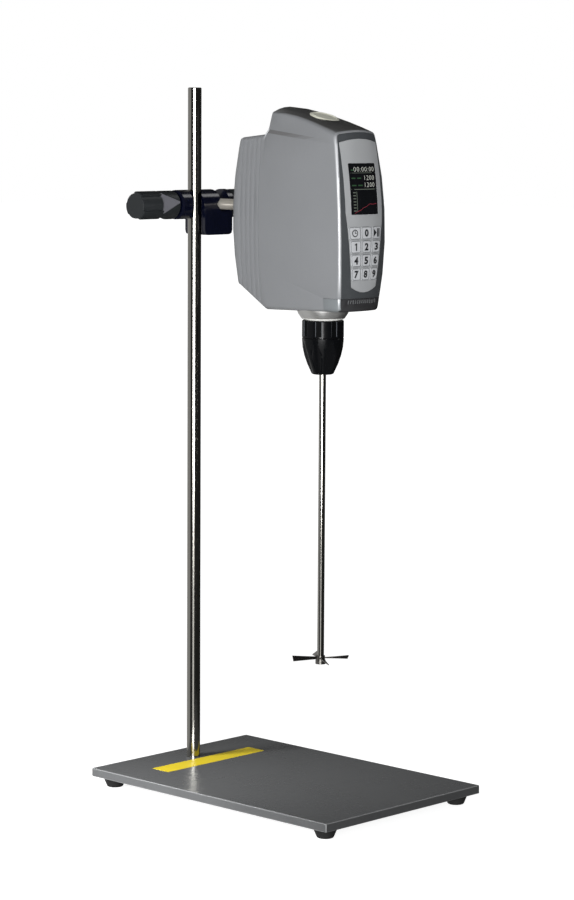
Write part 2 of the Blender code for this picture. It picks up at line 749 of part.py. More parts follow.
def make_knob(name, screw_name, outward, face, tip):
    """A fluted knob on its clamping screw, lying along X and facing outward.

    face is the distance from the clamp's middle to the outer face of its arm, and tip is the
    distance to the surface that the screw presses on.
    """
    facing = "+X" if outward > 0 else "-X"
    inner = face + KNOB_STANDOFF
    outer = inner + KNOB_RAMP + KNOB_GRIP
    profile = (
        (0, outer),
        (KNOB_RADIUS - KNOB_EDGE, outer),
        (KNOB_RADIUS - KNOB_EDGE * (1 - math.sin(math.radians(45))),
         outer - KNOB_EDGE * (1 - math.sin(math.radians(45)))),
        (KNOB_RADIUS, outer - KNOB_EDGE),
        (KNOB_RADIUS, inner + KNOB_EDGE),
        (KNOB_RADIUS - KNOB_EDGE, inner),
        (KNOB_HUB_RADIUS, inner),
        (KNOB_HUB_RADIUS, inner - KNOB_HUB),
        (CLAMP_SCREW_RADIUS + GAP, inner - KNOB_HUB),
        (CLAMP_SCREW_RADIUS + GAP, inner + KNOB_SOCKET_DEPTH),
        (0, inner + KNOB_SOCKET_DEPTH),
    )
    knob = turned(name, profile, "black_plastic", clamp, facing=facing, steps=30)
    bottom = KNOB_RADIUS - KNOB_FLUTE_DEPTH
    over = (KNOB_RADIUS + OVERRUN) / math.cos(KNOB_FLUTE_HALF_ANGLE)
    flat = KNOB_RADIUS - KNOB_RAMP_DEPTH
    half_chord = KNOB_RADIUS * math.sin(KNOB_RAMP_HALF_ANGLE)
    flutes, ramps = [], []
    for index in range(KNOB_FLUTES):
        middle = math.radians(-90) - outward * KNOB_TURN + 2 * math.pi * index / KNOB_FLUTES
        sector = []
        steps = 4
        for step in range(steps + 1):
            angle = middle + KNOB_FLUTE_HALF_ANGLE * (2 * step / steps - 1)
            sector.append((bottom * math.cos(angle), bottom * math.sin(angle)))
        for share in (1, -1):
            angle = middle + KNOB_FLUTE_HALF_ANGLE * share
            sector.append((over * math.cos(angle), over * math.sin(angle)))
        flutes.append(prism("flute", [sector], inner + KNOB_RAMP, outer + OVERRUN, "XY"))
        ramps.append(ramp_wedge(middle, inner, flat, over, half_chord))
    for label, meshes in (("flutes", flutes), ("ramps", ramps)):
        tool = cutter(f"{name}_{label}", joined(label, meshes), clamp)
        tool.rotation_euler = FACING[facing].to_euler()
        cut(knob, tool)
    end = inner + KNOB_SOCKET_DEPTH - GAP
    pad = tip + GAP
    pad_radius = CLAMP_PAD_RADIUS if pad + CLAMP_PAD < face else CLAMP_SCREW_RADIUS
    profile = (
        (0, end),
        (CLAMP_SCREW_RADIUS, end),
        (CLAMP_SCREW_RADIUS, pad + CLAMP_PAD),
        (pad_radius, pad + CLAMP_PAD),
        (pad_radius, pad),
        (0, pad),
    )
    turned(screw_name, profile, "zinc_screw", clamp, facing=facing, steps=SMALL_STEPS)


make_clamp_body()
make_knob("post_knob", "post_clamp_screw", -1, JAW_ARM_REACH, POST_RADIUS)
make_knob("rod_knob", "rod_clamp_screw", 1, ROD_ARM_REACH, ROD_OFFSET + ROD_RADIUS)

# Drive head

rod_axis = place("rod_axis", clamp, (ROD_OFFSET, 0, 0))
head_axis = place("head_axis", rod_axis, (0, -SPINDLE_REACH, 0))
head = place("head_floor", head_axis, (0, 0, -ROD_LEVEL))


def half_width(height):
    """Half the housing's width, which bows outwards at mid height."""
    return HEAD_HALF_WIDTH - SIDE_BOW * ((height - SIDE_BOW_HEIGHT) / SIDE_BOW_HEIGHT) ** 2


def front_corner(height):
    """Where the side meets the front, as a distance along Y."""
    return -FRONT_REACH + FRONT_BOW * ((height - FRONT_BOW_HEIGHT) / BOW_SPAN) ** 2


def rear_corner(height):
    """Where the side meets the rear, as a distance along Y."""
    return REAR_REACH - REAR_BOW * ((height - REAR_BOW_HEIGHT) / BOW_SPAN) ** 2


def front_face(across, height):
    """The front's surface, which bulges forwards between its corners."""
    share = min(1, abs(across) / half_width(height))
    return front_corner(height) - FRONT_BULGE * (1 - share ** FRONT_BULGE_POWER)


def rear_face(across, height):
    """The rear's surface."""
    share = min(1, abs(across) / half_width(height))
    return rear_corner(height) + REAR_BULGE * (1 - share ** 2)


def blend(low, high, share):
    """A value between two others."""
    return low + (high - low) * share


def top_edge(along):
    """Height of the side's upper edge: a rising arc, a steep step and a falling shoulder."""
    start = front_corner(FRONT_TOP)
    if along <= HUMP_REAR:
        share = max(0, (along - start) / (HUMP_REAR - start))
        return FRONT_TOP + (HUMP_TOP - FRONT_TOP) * math.sin(math.pi / 2 * share)
    foot = SHOULDER_TOP + HUMP_FOOT_RISE
    if along <= HUMP_FOOT:
        return blend(HUMP_TOP, foot, (along - HUMP_REAR) / (HUMP_FOOT - HUMP_REAR))
    if along <= SHOULDER_FRONT:
        return blend(foot, SHOULDER_TOP, (along - HUMP_FOOT) / (SHOULDER_FRONT - HUMP_FOOT))
    share = (along - SHOULDER_FRONT) / (REAR_REACH - SHOULDER_FRONT)
    return SHOULDER_TOP - SHOULDER_FALL * share


def hump_share(along):
    """How far along the hump a place is, from 0 at its front to 1 at its rear."""
    start = front_corner(FRONT_TOP)
    return min(1, max(0, (along - start) / (HUMP_REAR - start)))


def outline(share, inset):
    """The housing's section at one share of the way back, as points round it.

    The loop starts at the middle of the floor and runs up the +X side. The floor falls towards
    the rear outside, and is level inside, where the drive frame stands.
    """
    middle_low = blend(front_corner(0), rear_corner(0), share)
    middle_high = blend(front_corner(HUMP_TOP), rear_corner(HUMP_TOP), share)
    on_hump = middle_high <= (HUMP_REAR + SHOULDER_FRONT) / 2
    ramp = max(0, middle_low - CHAMFER_START) / (rear_corner(0) - CHAMFER_START)
    fall = FLOOR_SLOPE_SHARE * (min(middle_low, CHAMFER_START) + FRONT_REACH)
    low = CHAMFER_RISE * ramp + inset - (fall if inset < WALL else 0)
    edge = top_edge(middle_high + (inset if middle_high < SHOULDER_FRONT else 0)) - inset
    crown = blend(FRONT_CROWN, REAR_CROWN, hump_share(middle_high)) if on_hump else SHOULDER_CROWN
    rounding = blend(UPPER_FILLET, HUMP_FILLET, hump_share(middle_high))
    fillet = max(rounding if on_hump else SHOULDER_FILLET, inset + GAP) - inset
    foot = max(LOWER_FILLET, inset + GAP) - inset
    crease_share = (middle_high - CREASE_START) / (HUMP_REAR - CREASE_START)
    crease = blend(CREASE_FRONT, CREASE_REAR, min(1, max(0, crease_share)))
    crease = min(crease, edge - fillet - 2 * CREASE_BAND)
    step = CREASE_STEP * min(1, max(0, crease_share)) if on_hump else 0
    half = []
    floor_end = half_width(low + foot) - inset - foot
    half.append((floor_end / 2, low))
    for index in range(3):
        angle = math.radians(90) * index / 2
        half.append((floor_end + foot * math.sin(angle), low + foot * (1 - math.cos(angle))))
    for index in range(1, 6):
        height = blend(low + foot, crease, index / 5)
        half.append((half_width(height) - inset, height))
    height = crease + CREASE_BAND
    half.append((half_width(height) - inset - step, height))
    slope = math.atan(2 * crown / half_width(edge))
    centre = (half_width(edge - fillet) - inset - step - fillet, edge - fillet)
    for index in range(4):
        angle = (math.radians(90) - slope) * index / 3
        half.append((centre[0] + fillet * math.cos(angle), centre[1] + fillet * math.sin(angle)))
    reach, start = half[-1]
    rise = reach * math.tan(slope) / 2
    for index in (1, 2):
        across = reach * (1 - index / 3)
        half.append((across, start + rise * (1 - (across / reach) ** 2)))
    mirrored = [(-across, height) for across, height in reversed(half)]
    return [(0, low), *half, (0, start + rise), *mirrored]


def shrunk(points, inset):
    """Moves each point of a closed section inwards by a distance."""
    moved = []
    count = len(points)
    for index, point in enumerate(points):
        back, ahead = Vector(points[index - 1]), Vector(points[(index + 1) % count])
        along = (ahead - back).normalized()
        moved.append((point[0] - along.y * inset, point[1] + along.x * inset))
    return moved


def hull_rings(inset):
    """Rings of points that wrap the housing from the middle of its front to its rear."""
    top_start, top_end = front_corner(HUMP_TOP), rear_corner(HUMP_TOP)
    low_start, low_end = front_corner(0), rear_corner(0)

    def share_of(along, start, end):
        return (along - start) / (end - start)

    stations = sorted((
        *STATION_SHARES,
        share_of(HUMP_REAR - inset, top_start, top_end),
        share_of(HUMP_FOOT - inset, top_start, top_end),
        share_of(SHOULDER_FRONT - inset, top_start, top_end),
        share_of(SHOULDER_FRONT - inset + GAP, top_start, top_end),
        share_of(CHAMFER_START, low_start, low_end),
    ))
    rings = []
    front, rear = outline(0, inset), outline(1, inset)
    rim = max(RIM_RADIUS - inset, GAP)
    back_rim = max(REAR_RADIUS - inset, GAP)
    for share in CAP_RING_SHARES:
        flat = [(x * share, blend(HULL_CENTRE, z, share)) for x, z in shrunk(front, rim)]
        rings.append([(x, front_face(x, z) + inset, z) for x, z in flat])
    for angle in (90, 45, 0):
        lift = rim * (1 - math.sin(math.radians(angle)))
        pulled = shrunk(front, rim - rim * math.cos(math.radians(angle)))
        rings.append([(x, front_face(x, z) + inset + lift, z) for x, z in pulled])
    for share in stations:
        ring = []
        for across, height in outline(share, inset):
            start, end = front_corner(height) + inset, rear_corner(height) - inset
            ring.append((across, blend(start, end, share), height))
        rings.append(ring)
    for angle in (0, 45, 90):
        lift = back_rim * (1 - math.sin(math.radians(angle)))
        pulled = shrunk(rear, back_rim - back_rim * math.cos(math.radians(angle)))
        rings.append([(x, rear_face(x, z) - inset - lift, z) for x, z in pulled])
    for share in reversed(CAP_RING_SHARES):
        flat = [(x * share, blend(HULL_CENTRE, z, share)) for x, z in shrunk(rear, back_rim)]
        rings.append([(x, rear_face(x, z) - inset, z) for x, z in flat])
    return rings


def hull(name, inset):
    """A closed form of the whole housing: a globe drawn out over the rings."""
    rings = hull_rings(inset)
    columns = len(rings[0])
    bm = bmesh.new()
    bmesh.ops.create_uvsphere(bm, u_segments=columns, v_segments=len(rings) + 1, radius=1)
    for vertex in bm.verts:
        polar = math.acos(max(-1, min(1, vertex.co.z)))
        level = round(polar / math.pi * (len(rings) + 1))
        if level == 0:
            vertex.co = (0, front_face(0, HULL_CENTRE) + inset, HULL_CENTRE)
        elif level == len(rings) + 1:
            vertex.co = (0, rear_face(0, HULL_CENTRE) - inset, HULL_CENTRE)
        else:
            turn = math.atan2(vertex.co.y, vertex.co.x) / (2 * math.pi)
            vertex.co = rings[level - 1][math.floor(turn * columns + 0.25) % columns]
    return mesh_from(bm, name)


def box_cutter(name, low, high):
    """A plain box in the head's own space, for splitting the housing."""
    return cutter(name, block(name, low, high), head)


OUTER_FORM = hull("outer_form", 0)
INNER_FORM = cutter("inner_form", hull("inner_form", WALL), head)
FAR = REAR_REACH + PLATE_WIDTH


def front_opening(extra):
    """Outline of the opening that the bezel fills, grown by a little."""
    return shrunk(outline(0, 0), BEZEL_INSET - extra)


def panel_half_width(height):
    """Half the width of the light panel, which tapers beside the keys."""
    share = (PANEL_TAPER_START - height) / (PANEL_TAPER_START - PANEL_LOW_EDGE)
    return blend(PANEL_HALF_WIDTH, PANEL_LOW_HALF_WIDTH, max(0, share))


def panel_outline(extra):
    """Outline of the light panel, grown by a little on every side."""
    arch_steps = 6
    half_top = PANEL_HALF_WIDTH + extra
    half_low = PANEL_LOW_HALF_WIDTH + extra
    corners = []
    for index in range(arch_steps + 1):
        share = 1 - 2 * index / arch_steps
        lift = PANEL_LOW_ARCH * (1 - share ** 2)
        corners.append((-half_low * share, PANEL_LOW_EDGE - extra - lift))
    corners.append((half_top, PANEL_TAPER_START))
    for index in range(arch_steps + 1):
        share = 1 - 2 * index / arch_steps
        lift = PANEL_TOP_ARCH * share ** 2
        corners.append((half_top * share, PANEL_TOP + extra - lift))
    corners.append((-half_top, PANEL_TAPER_START))
    return corners


def window_outline(extra):
    """Outline of the display's window."""
    half = WINDOW_WIDTH / 2 + extra
    low, high = WINDOW_LOW - extra, WINDOW_HIGH + extra
    return rounded(((-half, low), (half, low), (half, high), (-half, high)), WINDOW_CORNER)


def key_outline(row, column, extra):
    """Outline of one key, whose sides fan out with the panel's taper."""
    middle = KEY_TOP_ROW - KEY_PITCH * row
    low, high = middle - KEY_HEIGHT / 2 - extra, middle + KEY_HEIGHT / 2 + extra
    corners = []
    for height, order in ((low, (0, 1)), (high, (1, 0))):
        reach = panel_half_width(height) - KEY_MARGIN + KEY_SPACING / 2
        for side in order:
            edge = reach * (2 * (column + side) / KEY_COLUMNS - 1)
            trim = KEY_SPACING / 2 - extra
            corners.append((edge + (trim if side == 0 else -trim), height))
    return rounded(corners, KEY_CORNER + extra, 1)


def front_slab(name, outer, inner):
    """A sheet that follows the front's surface between two depths behind it."""
    bm = bmesh.new()
    columns, rows = 8, 8
    bmesh.ops.create_grid(bm, x_segments=columns, y_segments=rows, size=1)
    top = PANEL_TOP + PANEL_TOP_ARCH + BEZEL_INSET
    for vertex in bm.verts:
        across = vertex.co.x * HEAD_HALF_WIDTH
        height = (vertex.co.y + 1) / 2 * top
        vertex.co = (across, front_face(across, height) + outer, height)
    grown = bmesh.ops.extrude_face_region(bm, geom=bm.faces[:])
    fresh = [thing for thing in grown["geom"] if isinstance(thing, bmesh.types.BMVert)]
    bmesh.ops.translate(bm, vec=(0, inner - outer, 0), verts=fresh)
    return mesh_from(bm, name)


def front_prism(name, outlines):
    """A tool through the front of the head with the given outlines."""
    mesh = prism(name, outlines, -FRONT_REACH - FRONT_BULGE - BOW_SPAN, -VENT_REACH, "XZ")
    return cutter(name, mesh, head)


def make_housing():
    """The shell, rear cover and vent cover, all parted from one moulded form."""
    shell = piece("housing_shell", OUTER_FORM.copy(), "silver_housing", head)
    opening = front_prism("front_opening", [front_opening(GAP / 2)])
    low = -OVERRUN
    behind = box_cutter("behind_seam", (-FAR, REAR_SEAM - GAP / 2, -FAR), (FAR, FAR, FAR))
    vent_space = box_cutter("vent_space", (-FAR, -FAR, -FAR),
                            (FAR, -VENT_REACH, VENT_HEIGHT + GAP))
    neck_hole = cutter("neck_hole", cylinder("neck_hole", NECK_SPIGOT_RADIUS + GAP, low,
                                             WALL + OVERRUN), head)
    neck_seat = cutter("neck_seat", cylinder("neck_seat", NECK_TOP_RADIUS + GAP, -CHUCK_TOP, 0),
                       head)
    cap_hole = cutter("cap_hole", cylinder("cap_hole", CAP_HOLE_RADIUS, -CAP_PLUG - OVERRUN,
                                           CAP_PLUG + CAP_CROWN), cap_place)
    recess = CAP_RADIUS + GAP
    cap_recess = cutter("cap_recess", cylinder("cap_recess", recess, 0, FAR), cap_place)
    boss = cutter("cap_boss", cylinder("cap_boss", recess + WALL, -WALL, FAR), cap_place)
    room = cutter("shell_room", INNER_FORM.data.copy(), head)
    boolean(room, boss, "DIFFERENCE")
    cut(shell, room, cap_hole, cap_recess, neck_hole, neck_seat, opening, behind, vent_space)

    cover = piece("rear_cover", OUTER_FORM.copy(), "silver_housing", head)
    ahead = box_cutter("ahead_of_seam", (-FAR, -FAR, -FAR), (FAR, REAR_SEAM + GAP / 2, FAR))
    rod_hole = cutter("rod_hole", cylinder("rod_hole", FLANGE_SPIGOT_RADIUS + GAP, REAR_SEAM,
                                           FAR, "+Y", (0, 0, ROD_LEVEL)), head)
    half = PANEL_PLATE_WIDTH / 2 + GAP
    low, high = PANEL_PLATE_LOW - GAP, PANEL_PLATE_HIGH + GAP
    corners = rounded(((-half, low), (half, low), (half, high), (-half, high)),
                      PANEL_PLATE_CORNER + GAP)
    plate_hole = cutter("socket_plate_hole", prism("socket_plate_hole", [corners],
                                                   FRAME_BACK + GAP, FAR, "XZ"), head)
    cut(cover, INNER_FORM, ahead, rod_hole, plate_hole)
    for index, (across, height) in enumerate(rear_screw_places()):
        hole = cylinder("rear_screw_hole", SCREW_SHANK_RADIUS + GAP, REAR_SEAM, FAR, "+Y",
                        (across, 0, height), SMALL_STEPS)
        cut(cover, cutter(f"rear_screw_hole_{index}", hole, head))
    slabs = []
    for index in range(REAR_GROOVES):
        start = REAR_SEAM + REAR_GROOVE_PITCH * (index + 1)
        slabs.append(block("slab", (-FAR, start - REAR_GROOVE_WIDTH / 2, -FAR),
                           (FAR, start + REAR_GROOVE_WIDTH / 2, FAR)))
    grooves = cutter("rear_grooves", joined("rear_grooves", slabs), head)
    boolean(grooves, cutter("groove_floor", hull("groove_floor", REAR_GROOVE_DEPTH), head),
            "DIFFERENCE")
    cut(cover, grooves)

    vent = piece("vent_cover", OUTER_FORM.copy(), "grey_bezel", head)
    keep = box_cutter("vent_keep", (-FAR, -FAR, -FAR), (FAR, -VENT_REACH - GAP, VENT_HEIGHT))
    cut(vent, INNER_FORM)
    boolean(vent, keep, "INTERSECT")
    slots = []
    for index in range(VENT_SLOTS):
        across = VENT_SLOT_PITCH * (index - (VENT_SLOTS - 1) / 2)
        slots.append(block("slot", (across - VENT_SLOT_WIDTH / 2, -FAR, VENT_SLOT_LOW),
                           (across + VENT_SLOT_WIDTH / 2, -VENT_REACH - WALL, VENT_SLOT_HIGH)))
    cut(vent, cutter("vent_slots", joined("vent_slots", slots), head))


def rear_screw_places():
    """Where the rear cover's screws sit, as (across, height)."""
    return [(side * REAR_SCREW_SPREAD, height)
            for height in (REAR_SCREW_LOW, REAR_SCREW_HIGH) for side in (-1, 1)]


def seat_behind(half_x, low, high, lean):
    """Where a flat piece of this size, leaning back, first clears the front's surface."""
    middle = (low + high) / 2
    return max(front_face(across, height) - lean * (height - middle)
               for across in (0, half_x) for height in (low, middle, high))


def make_front():
    """Bezel, light panel, window and display, each following the front's surface."""
    bezel = piece("front_bezel", front_slab("bezel_slab", 0, PANEL_THICKNESS), "grey_bezel", head)
    ring = front_prism("bezel_ring", [front_opening(-GAP / 2), panel_outline(GAP)])
    boolean(bezel, ring, "INTERSECT")
    cut(bezel, box_cutter("bezel_floor", (-FAR, -FAR, -FAR), (FAR, FAR, VENT_HEIGHT + GAP)))

    panel = piece("front_panel", front_slab("panel_slab", 0, PANEL_THICKNESS), "light_panel", head)
    boolean(panel, front_prism("panel_keep", [panel_outline(0)]), "INTERSECT")
    openings = [window_outline(GAP)]
    for row in range(KEY_ROWS):
        openings += [key_outline(row, column, GAP) for column in range(KEY_COLUMNS)]
    cut(panel, front_prism("panel_openings", openings))

    window = piece("display_window", front_slab("window_slab", WINDOW_RECESS,
                                                WINDOW_RECESS + WINDOW_THICKNESS),
                   "display_glass", head)
    boolean(window, front_prism("window_keep", [window_outline(0)]), "INTERSECT")

    half_x, half_z = DISPLAY_WIDTH / 2, DISPLAY_HEIGHT / 2
    middle = (WINDOW_LOW + WINDOW_HIGH) / 2
    lean = (front_face(0, WINDOW_HIGH) - front_face(0, WINDOW_LOW)) / (WINDOW_HIGH - WINDOW_LOW)
    mesh = block("display_module", (-half_x, 0, -half_z), (half_x, DISPLAY_THICKNESS, half_z))
    seat = seat_behind(half_x, middle - half_z, middle + half_z, lean)
    module = piece("display_module", mesh, "black_plastic", head,
                   (0, seat + PANEL_THICKNESS + GAP, middle))
    module.rotation_euler = (-math.atan(lean), 0, 0)


def make_keys():
    """Twelve keys that stand a little proud of the panel, on a rubber mat and a board."""
    for row, names in enumerate(KEY_NAMES):
        for column, name in enumerate(names):
            corners = key_outline(row, column, 0)
            across = sum(x for x, _ in corners) / len(corners)
            height = KEY_TOP_ROW - KEY_PITCH * row
            centre = Vector((across, front_face(across, height), height))
            mesh = front_slab(name, -KEY_PROUD, KEY_DEPTH)
            mesh.transform(Matrix.Translation(-centre))
            key = piece(name, mesh, "key_skin", head, centre)
            boolean(key, front_prism(f"{name}_keep", [corners]), "INTERSECT")
    low = KEY_TOP_ROW - KEY_PITCH * (KEY_ROWS - 1) - KEY_HEIGHT / 2 - MAT_MARGIN
    high = KEY_TOP_ROW + KEY_HEIGHT / 2 + MAT_MARGIN
    start = PANEL_THICKNESS + MAT_STANDOFF
    mat = piece("key_mat", front_slab("key_mat", start, start + MAT_THICKNESS), "silicone", head)
    sides = [(panel_half_width(height), height) for height in (low, high)]
    corners = [(-sides[0][0], low), (sides[0][0], low), (sides[1][0], high), (-sides[1][0], high)]
    boolean(mat, front_prism("mat_keep", [corners]), "INTERSECT")
    behind = max(seat_behind(BOARD_HALF_WIDTH, BOARD_LOW, BOARD_HIGH, 0) + PANEL_THICKNESS,
                 seat_behind(sides[0][0], low, high, 0) + start + MAT_THICKNESS) + GAP
    mesh = block("control_board", (-BOARD_HALF_WIDTH, behind, BOARD_LOW),
                 (BOARD_HALF_WIDTH, behind + BOARD_THICKNESS, BOARD_HIGH))
    piece("control_board", mesh, "board_green", head)


def make_frame():
    """The bent frame with its pillars, and the deck that carries motor and upper bearing."""
    floor = WALL + GAP
    upper = floor + FRAME_THICKNESS
    inner_back = FRAME_BACK - FRAME_BACK_THICKNESS
    profile = (
        (-FRAME_FRONT, floor),
        (FRAME_BEND, floor),
        (FRAME_BACK, FRAME_BACK_LOW),
        (FRAME_BACK, FRAME_BACK_TOP),
        (inner_back, FRAME_BACK_TOP),
        (inner_back, FRAME_BACK_LOW + FRAME_THICKNESS),
        (FRAME_BEND - FRAME_THICKNESS / 2, upper),
        (-FRAME_FRONT, upper),
    )
    frame = piece("drive_frame", prism("drive_frame", [profile], -FRAME_HALF_WIDTH,
                                       FRAME_HALF_WIDTH, "YZ"), "cast_aluminium", head)
    pillars = []
    for across in (-PILLAR_OFFSET, PILLAR_OFFSET):
        for along in (-PILLAR_OFFSET, PILLAR_REAR):
            pillars.append(cylinder("pillar", PILLAR_RADIUS, upper - GAP, DECK_LOW - GAP,
                                    centre=(across, along, 0), steps=8))
    boolean(frame, cutter("pillars", joined("pillars", pillars), head), "UNION")
    seat = cylinder("bearing_seat", BEARING_RADIUS + GAP, floor - OVERRUN, upper + OVERRUN)
    bore = cylinder("rod_bore", FLANGE_SPIGOT_RADIUS + GAP, inner_back - OVERRUN,
                    FRAME_BACK + OVERRUN, "+Y", (0, 0, ROD_LEVEL))
    window = block("frame_window", (-FRAME_WINDOW_HALF_WIDTH, inner_back - OVERRUN,
                                    FRAME_WINDOW_LOW),
                   (FRAME_WINDOW_HALF_WIDTH, FRAME_BACK + OVERRUN, FRAME_WINDOW_HIGH))
    cut(frame, cutter("frame_bores", joined("frame_bores", [seat, bore, window]), head))

    half, back = FRAME_HALF_WIDTH, DECK_BACK
    corners = rounded(((-half, -FRAME_FRONT), (half, -FRAME_FRONT), (half, back), (-half, back)),
                      DECK_CORNER)
    deck = piece("motor_deck", prism("motor_deck", [corners], DECK_LOW, DECK_LOW + DECK_THICKNESS,
                                     "XY"), "cast_aluminium", head)
    seat = cylinder("upper_seat", BEARING_RADIUS + GAP, DECK_LOW - OVERRUN,
                    DECK_LOW + DECK_THICKNESS + OVERRUN)
    hole = cylinder("pinion_hole", MOTOR_BORE_RADIUS / 2, DECK_LOW - OVERRUN,
                    DECK_LOW + DECK_THICKNESS + OVERRUN, centre=(0, SHAFT_DISTANCE, 0))
    cut(deck, cutter("deck_bores", joined("deck_bores", [seat, hole]), head))


def make_bearing(name, low):
    """A shielded ball bearing, turned as one ring with its two races marked."""
    high = low + BEARING_WIDTH
    inside = SPINDLE_RADIUS + GAP
    land = inside + BEARING_LAND
    rim = BEARING_RADIUS - BEARING_LAND / 2
    profile = (
        (inside, high), (land, high), (land, high - BEARING_GROOVE), (rim, high - BEARING_GROOVE),
        (rim, high), (BEARING_RADIUS, high), (BEARING_RADIUS, low), (rim, low),
        (rim, low + BEARING_GROOVE), (land, low + BEARING_GROOVE), (land, low), (inside, low),
    )
    turned(name, profile, "gear_steel", head, steps=16)


def involute_gear(name, teeth, width, low, bore, turn, backlash):
    """A spur gear whose flanks are involutes of the base circle, sampled at a few points."""
    pitch = GEAR_MODULE * teeth / 2
    base = pitch * math.cos(PRESSURE_ANGLE)
    tip = pitch + GEAR_MODULE
    root = pitch - GEAR_MODULE * GEAR_ROOT_SHARE

    def flank(radius):
        """Angle that the involute has swept where it meets a radius."""
        steep = math.acos(min(1, base / radius))
        return math.tan(steep) - steep

    half_tooth = math.pi / (2 * teeth) - backlash / (2 * pitch)
    samples = (root, pitch, tip) if teeth < ROUND_STEPS else (root, tip)
    points = []
    for tooth in range(teeth):
        middle = turn + 2 * math.pi * tooth / teeth
        side = [(radius, half_tooth + flank(pitch) - flank(max(base, radius)))
                for radius in samples]
        points += [(radius, middle - angle) for radius, angle in side]
        points += [(radius, middle + angle) for radius, angle in reversed(side)]
    rim = [(radius * math.cos(angle), radius * math.sin(angle)) for radius, angle in points]
    hole = [(bore * math.cos(2 * math.pi * step / ROUND_STEPS),
             bore * math.sin(2 * math.pi * step / ROUND_STEPS)) for step in range(ROUND_STEPS)]
    return prism(name, [rim, hole], low, low + width, "XY")


def make_gears():
    """The motor's pinion and the larger gear on the spindle, in mesh."""
    wheel = involute_gear("spindle_gear", GEAR_TEETH, GEAR_WIDTH, GEAR_LOW, SPINDLE_RADIUS + GAP,
                          math.radians(90), GEAR_BACKLASH)
    gear = piece("spindle_gear", wheel, "gear_steel", spindle)
    top = GEAR_LOW + GEAR_WIDTH
    hub = (
        (GEAR_HUB_RADIUS, top + GEAR_HUB), (GEAR_HUB_RADIUS, top - GEAR_WIDTH / 2),
        (SPINDLE_RADIUS + GAP, top - GEAR_WIDTH / 2), (SPINDLE_RADIUS + GAP, top + GEAR_HUB),
    )
    boolean(gear, turned("gear_hub", hub, None, spindle), "UNION")
    half_tooth = math.pi / PINION_TEETH
    wheel = involute_gear("motor_pinion", PINION_TEETH, GEAR_WIDTH + PINION_OVERHANG,
                          GEAR_LOW - PINION_OVERHANG / 2, ROTOR_SHAFT_RADIUS + GAP,
                          math.radians(-90) + half_tooth, GEAR_BACKLASH)
    piece("motor_pinion", wheel, "gear_steel", motor)


def make_motor():
    """The motor's can with its winding bore, and the rotor with its shaft."""
    low = DECK_LOW + DECK_THICKNESS + GAP
    high = low + MOTOR_LENGTH
    hole = ROTOR_SHAFT_RADIUS + GAP
    profile = (
        (hole, high), (MOTOR_RADIUS - MOTOR_EDGE, high), (MOTOR_RADIUS, high - MOTOR_EDGE),
        (MOTOR_RADIUS, low + MOTOR_EDGE), (MOTOR_RADIUS - MOTOR_EDGE, low), (hole, low),
        (hole, low + MOTOR_WALL), (MOTOR_BORE_RADIUS, low + MOTOR_WALL),
        (MOTOR_BORE_RADIUS, high - MOTOR_WALL), (hole, high - MOTOR_WALL),
    )
    turned("motor_can", profile, "black_plastic", motor)
    middle = (low + high) / 2
    start, end = middle - ROTOR_LENGTH / 2, middle + ROTOR_LENGTH / 2
    profile = (
        (0, high + OVERRUN), (ROTOR_SHAFT_RADIUS, high + OVERRUN), (ROTOR_SHAFT_RADIUS, end),
        (ROTOR_RADIUS, end), (ROTOR_RADIUS, start), (ROTOR_SHAFT_RADIUS, start),
        (ROTOR_SHAFT_RADIUS, GEAR_LOW - PINION_OVERHANG), (0, GEAR_LOW - PINION_OVERHANG),
    )
    turned("motor_rotor", profile, "gear_steel", motor)


def make_spindle():
    """The hollow spindle, through which a long shaft can pass."""
    profile = (
        (SPINDLE_BORE_RADIUS, SPINDLE_TOP), (SPINDLE_RADIUS, SPINDLE_TOP),
        (SPINDLE_RADIUS, -SPINDLE_DROP), (SPINDLE_BORE_RADIUS, -SPINDLE_DROP),
    )
    turned("hollow_spindle", profile, "polished_steel", spindle)


def make_neck():
    """The cone below the housing, with a spigot through the housing's floor."""
    profile = (
        (NECK_BORE_RADIUS, WALL), (NECK_SPIGOT_RADIUS, WALL), (NECK_SPIGOT_RADIUS, -GAP),
        (NECK_TOP_RADIUS, -GAP), (NECK_TOP_RADIUS, -GAP - NECK_RING),
        *((blend(NECK_TOP_RADIUS, NECK_LOW_RADIUS, inwards), -NECK_HEIGHT * down)
          for inwards, down in NECK_CURVE_SHARES),
        (NECK_LOW_RADIUS, -NECK_HEIGHT), (NECK_RING_RADIUS, -NECK_HEIGHT),
        (NECK_RING_RADIUS, -NECK_HEIGHT - NECK_RING), (NECK_BORE_RADIUS, -NECK_HEIGHT - NECK_RING),
    )
    turned("neck_ring", profile, "satin_aluminium", head)


def chuck_radius(depth):
    """Outer radius of the chuck's sleeve at a depth below the housing."""
    end = CHUCK_NOSE - CHUCK_NOSE_ROUNDING
    share = max(0, (depth - CHUCK_STRAIGHT) / (end - CHUCK_STRAIGHT))
    return CHUCK_RADIUS - (CHUCK_RADIUS - CHUCK_NOSE_RADIUS) * share ** CHUCK_CURVE_POWER


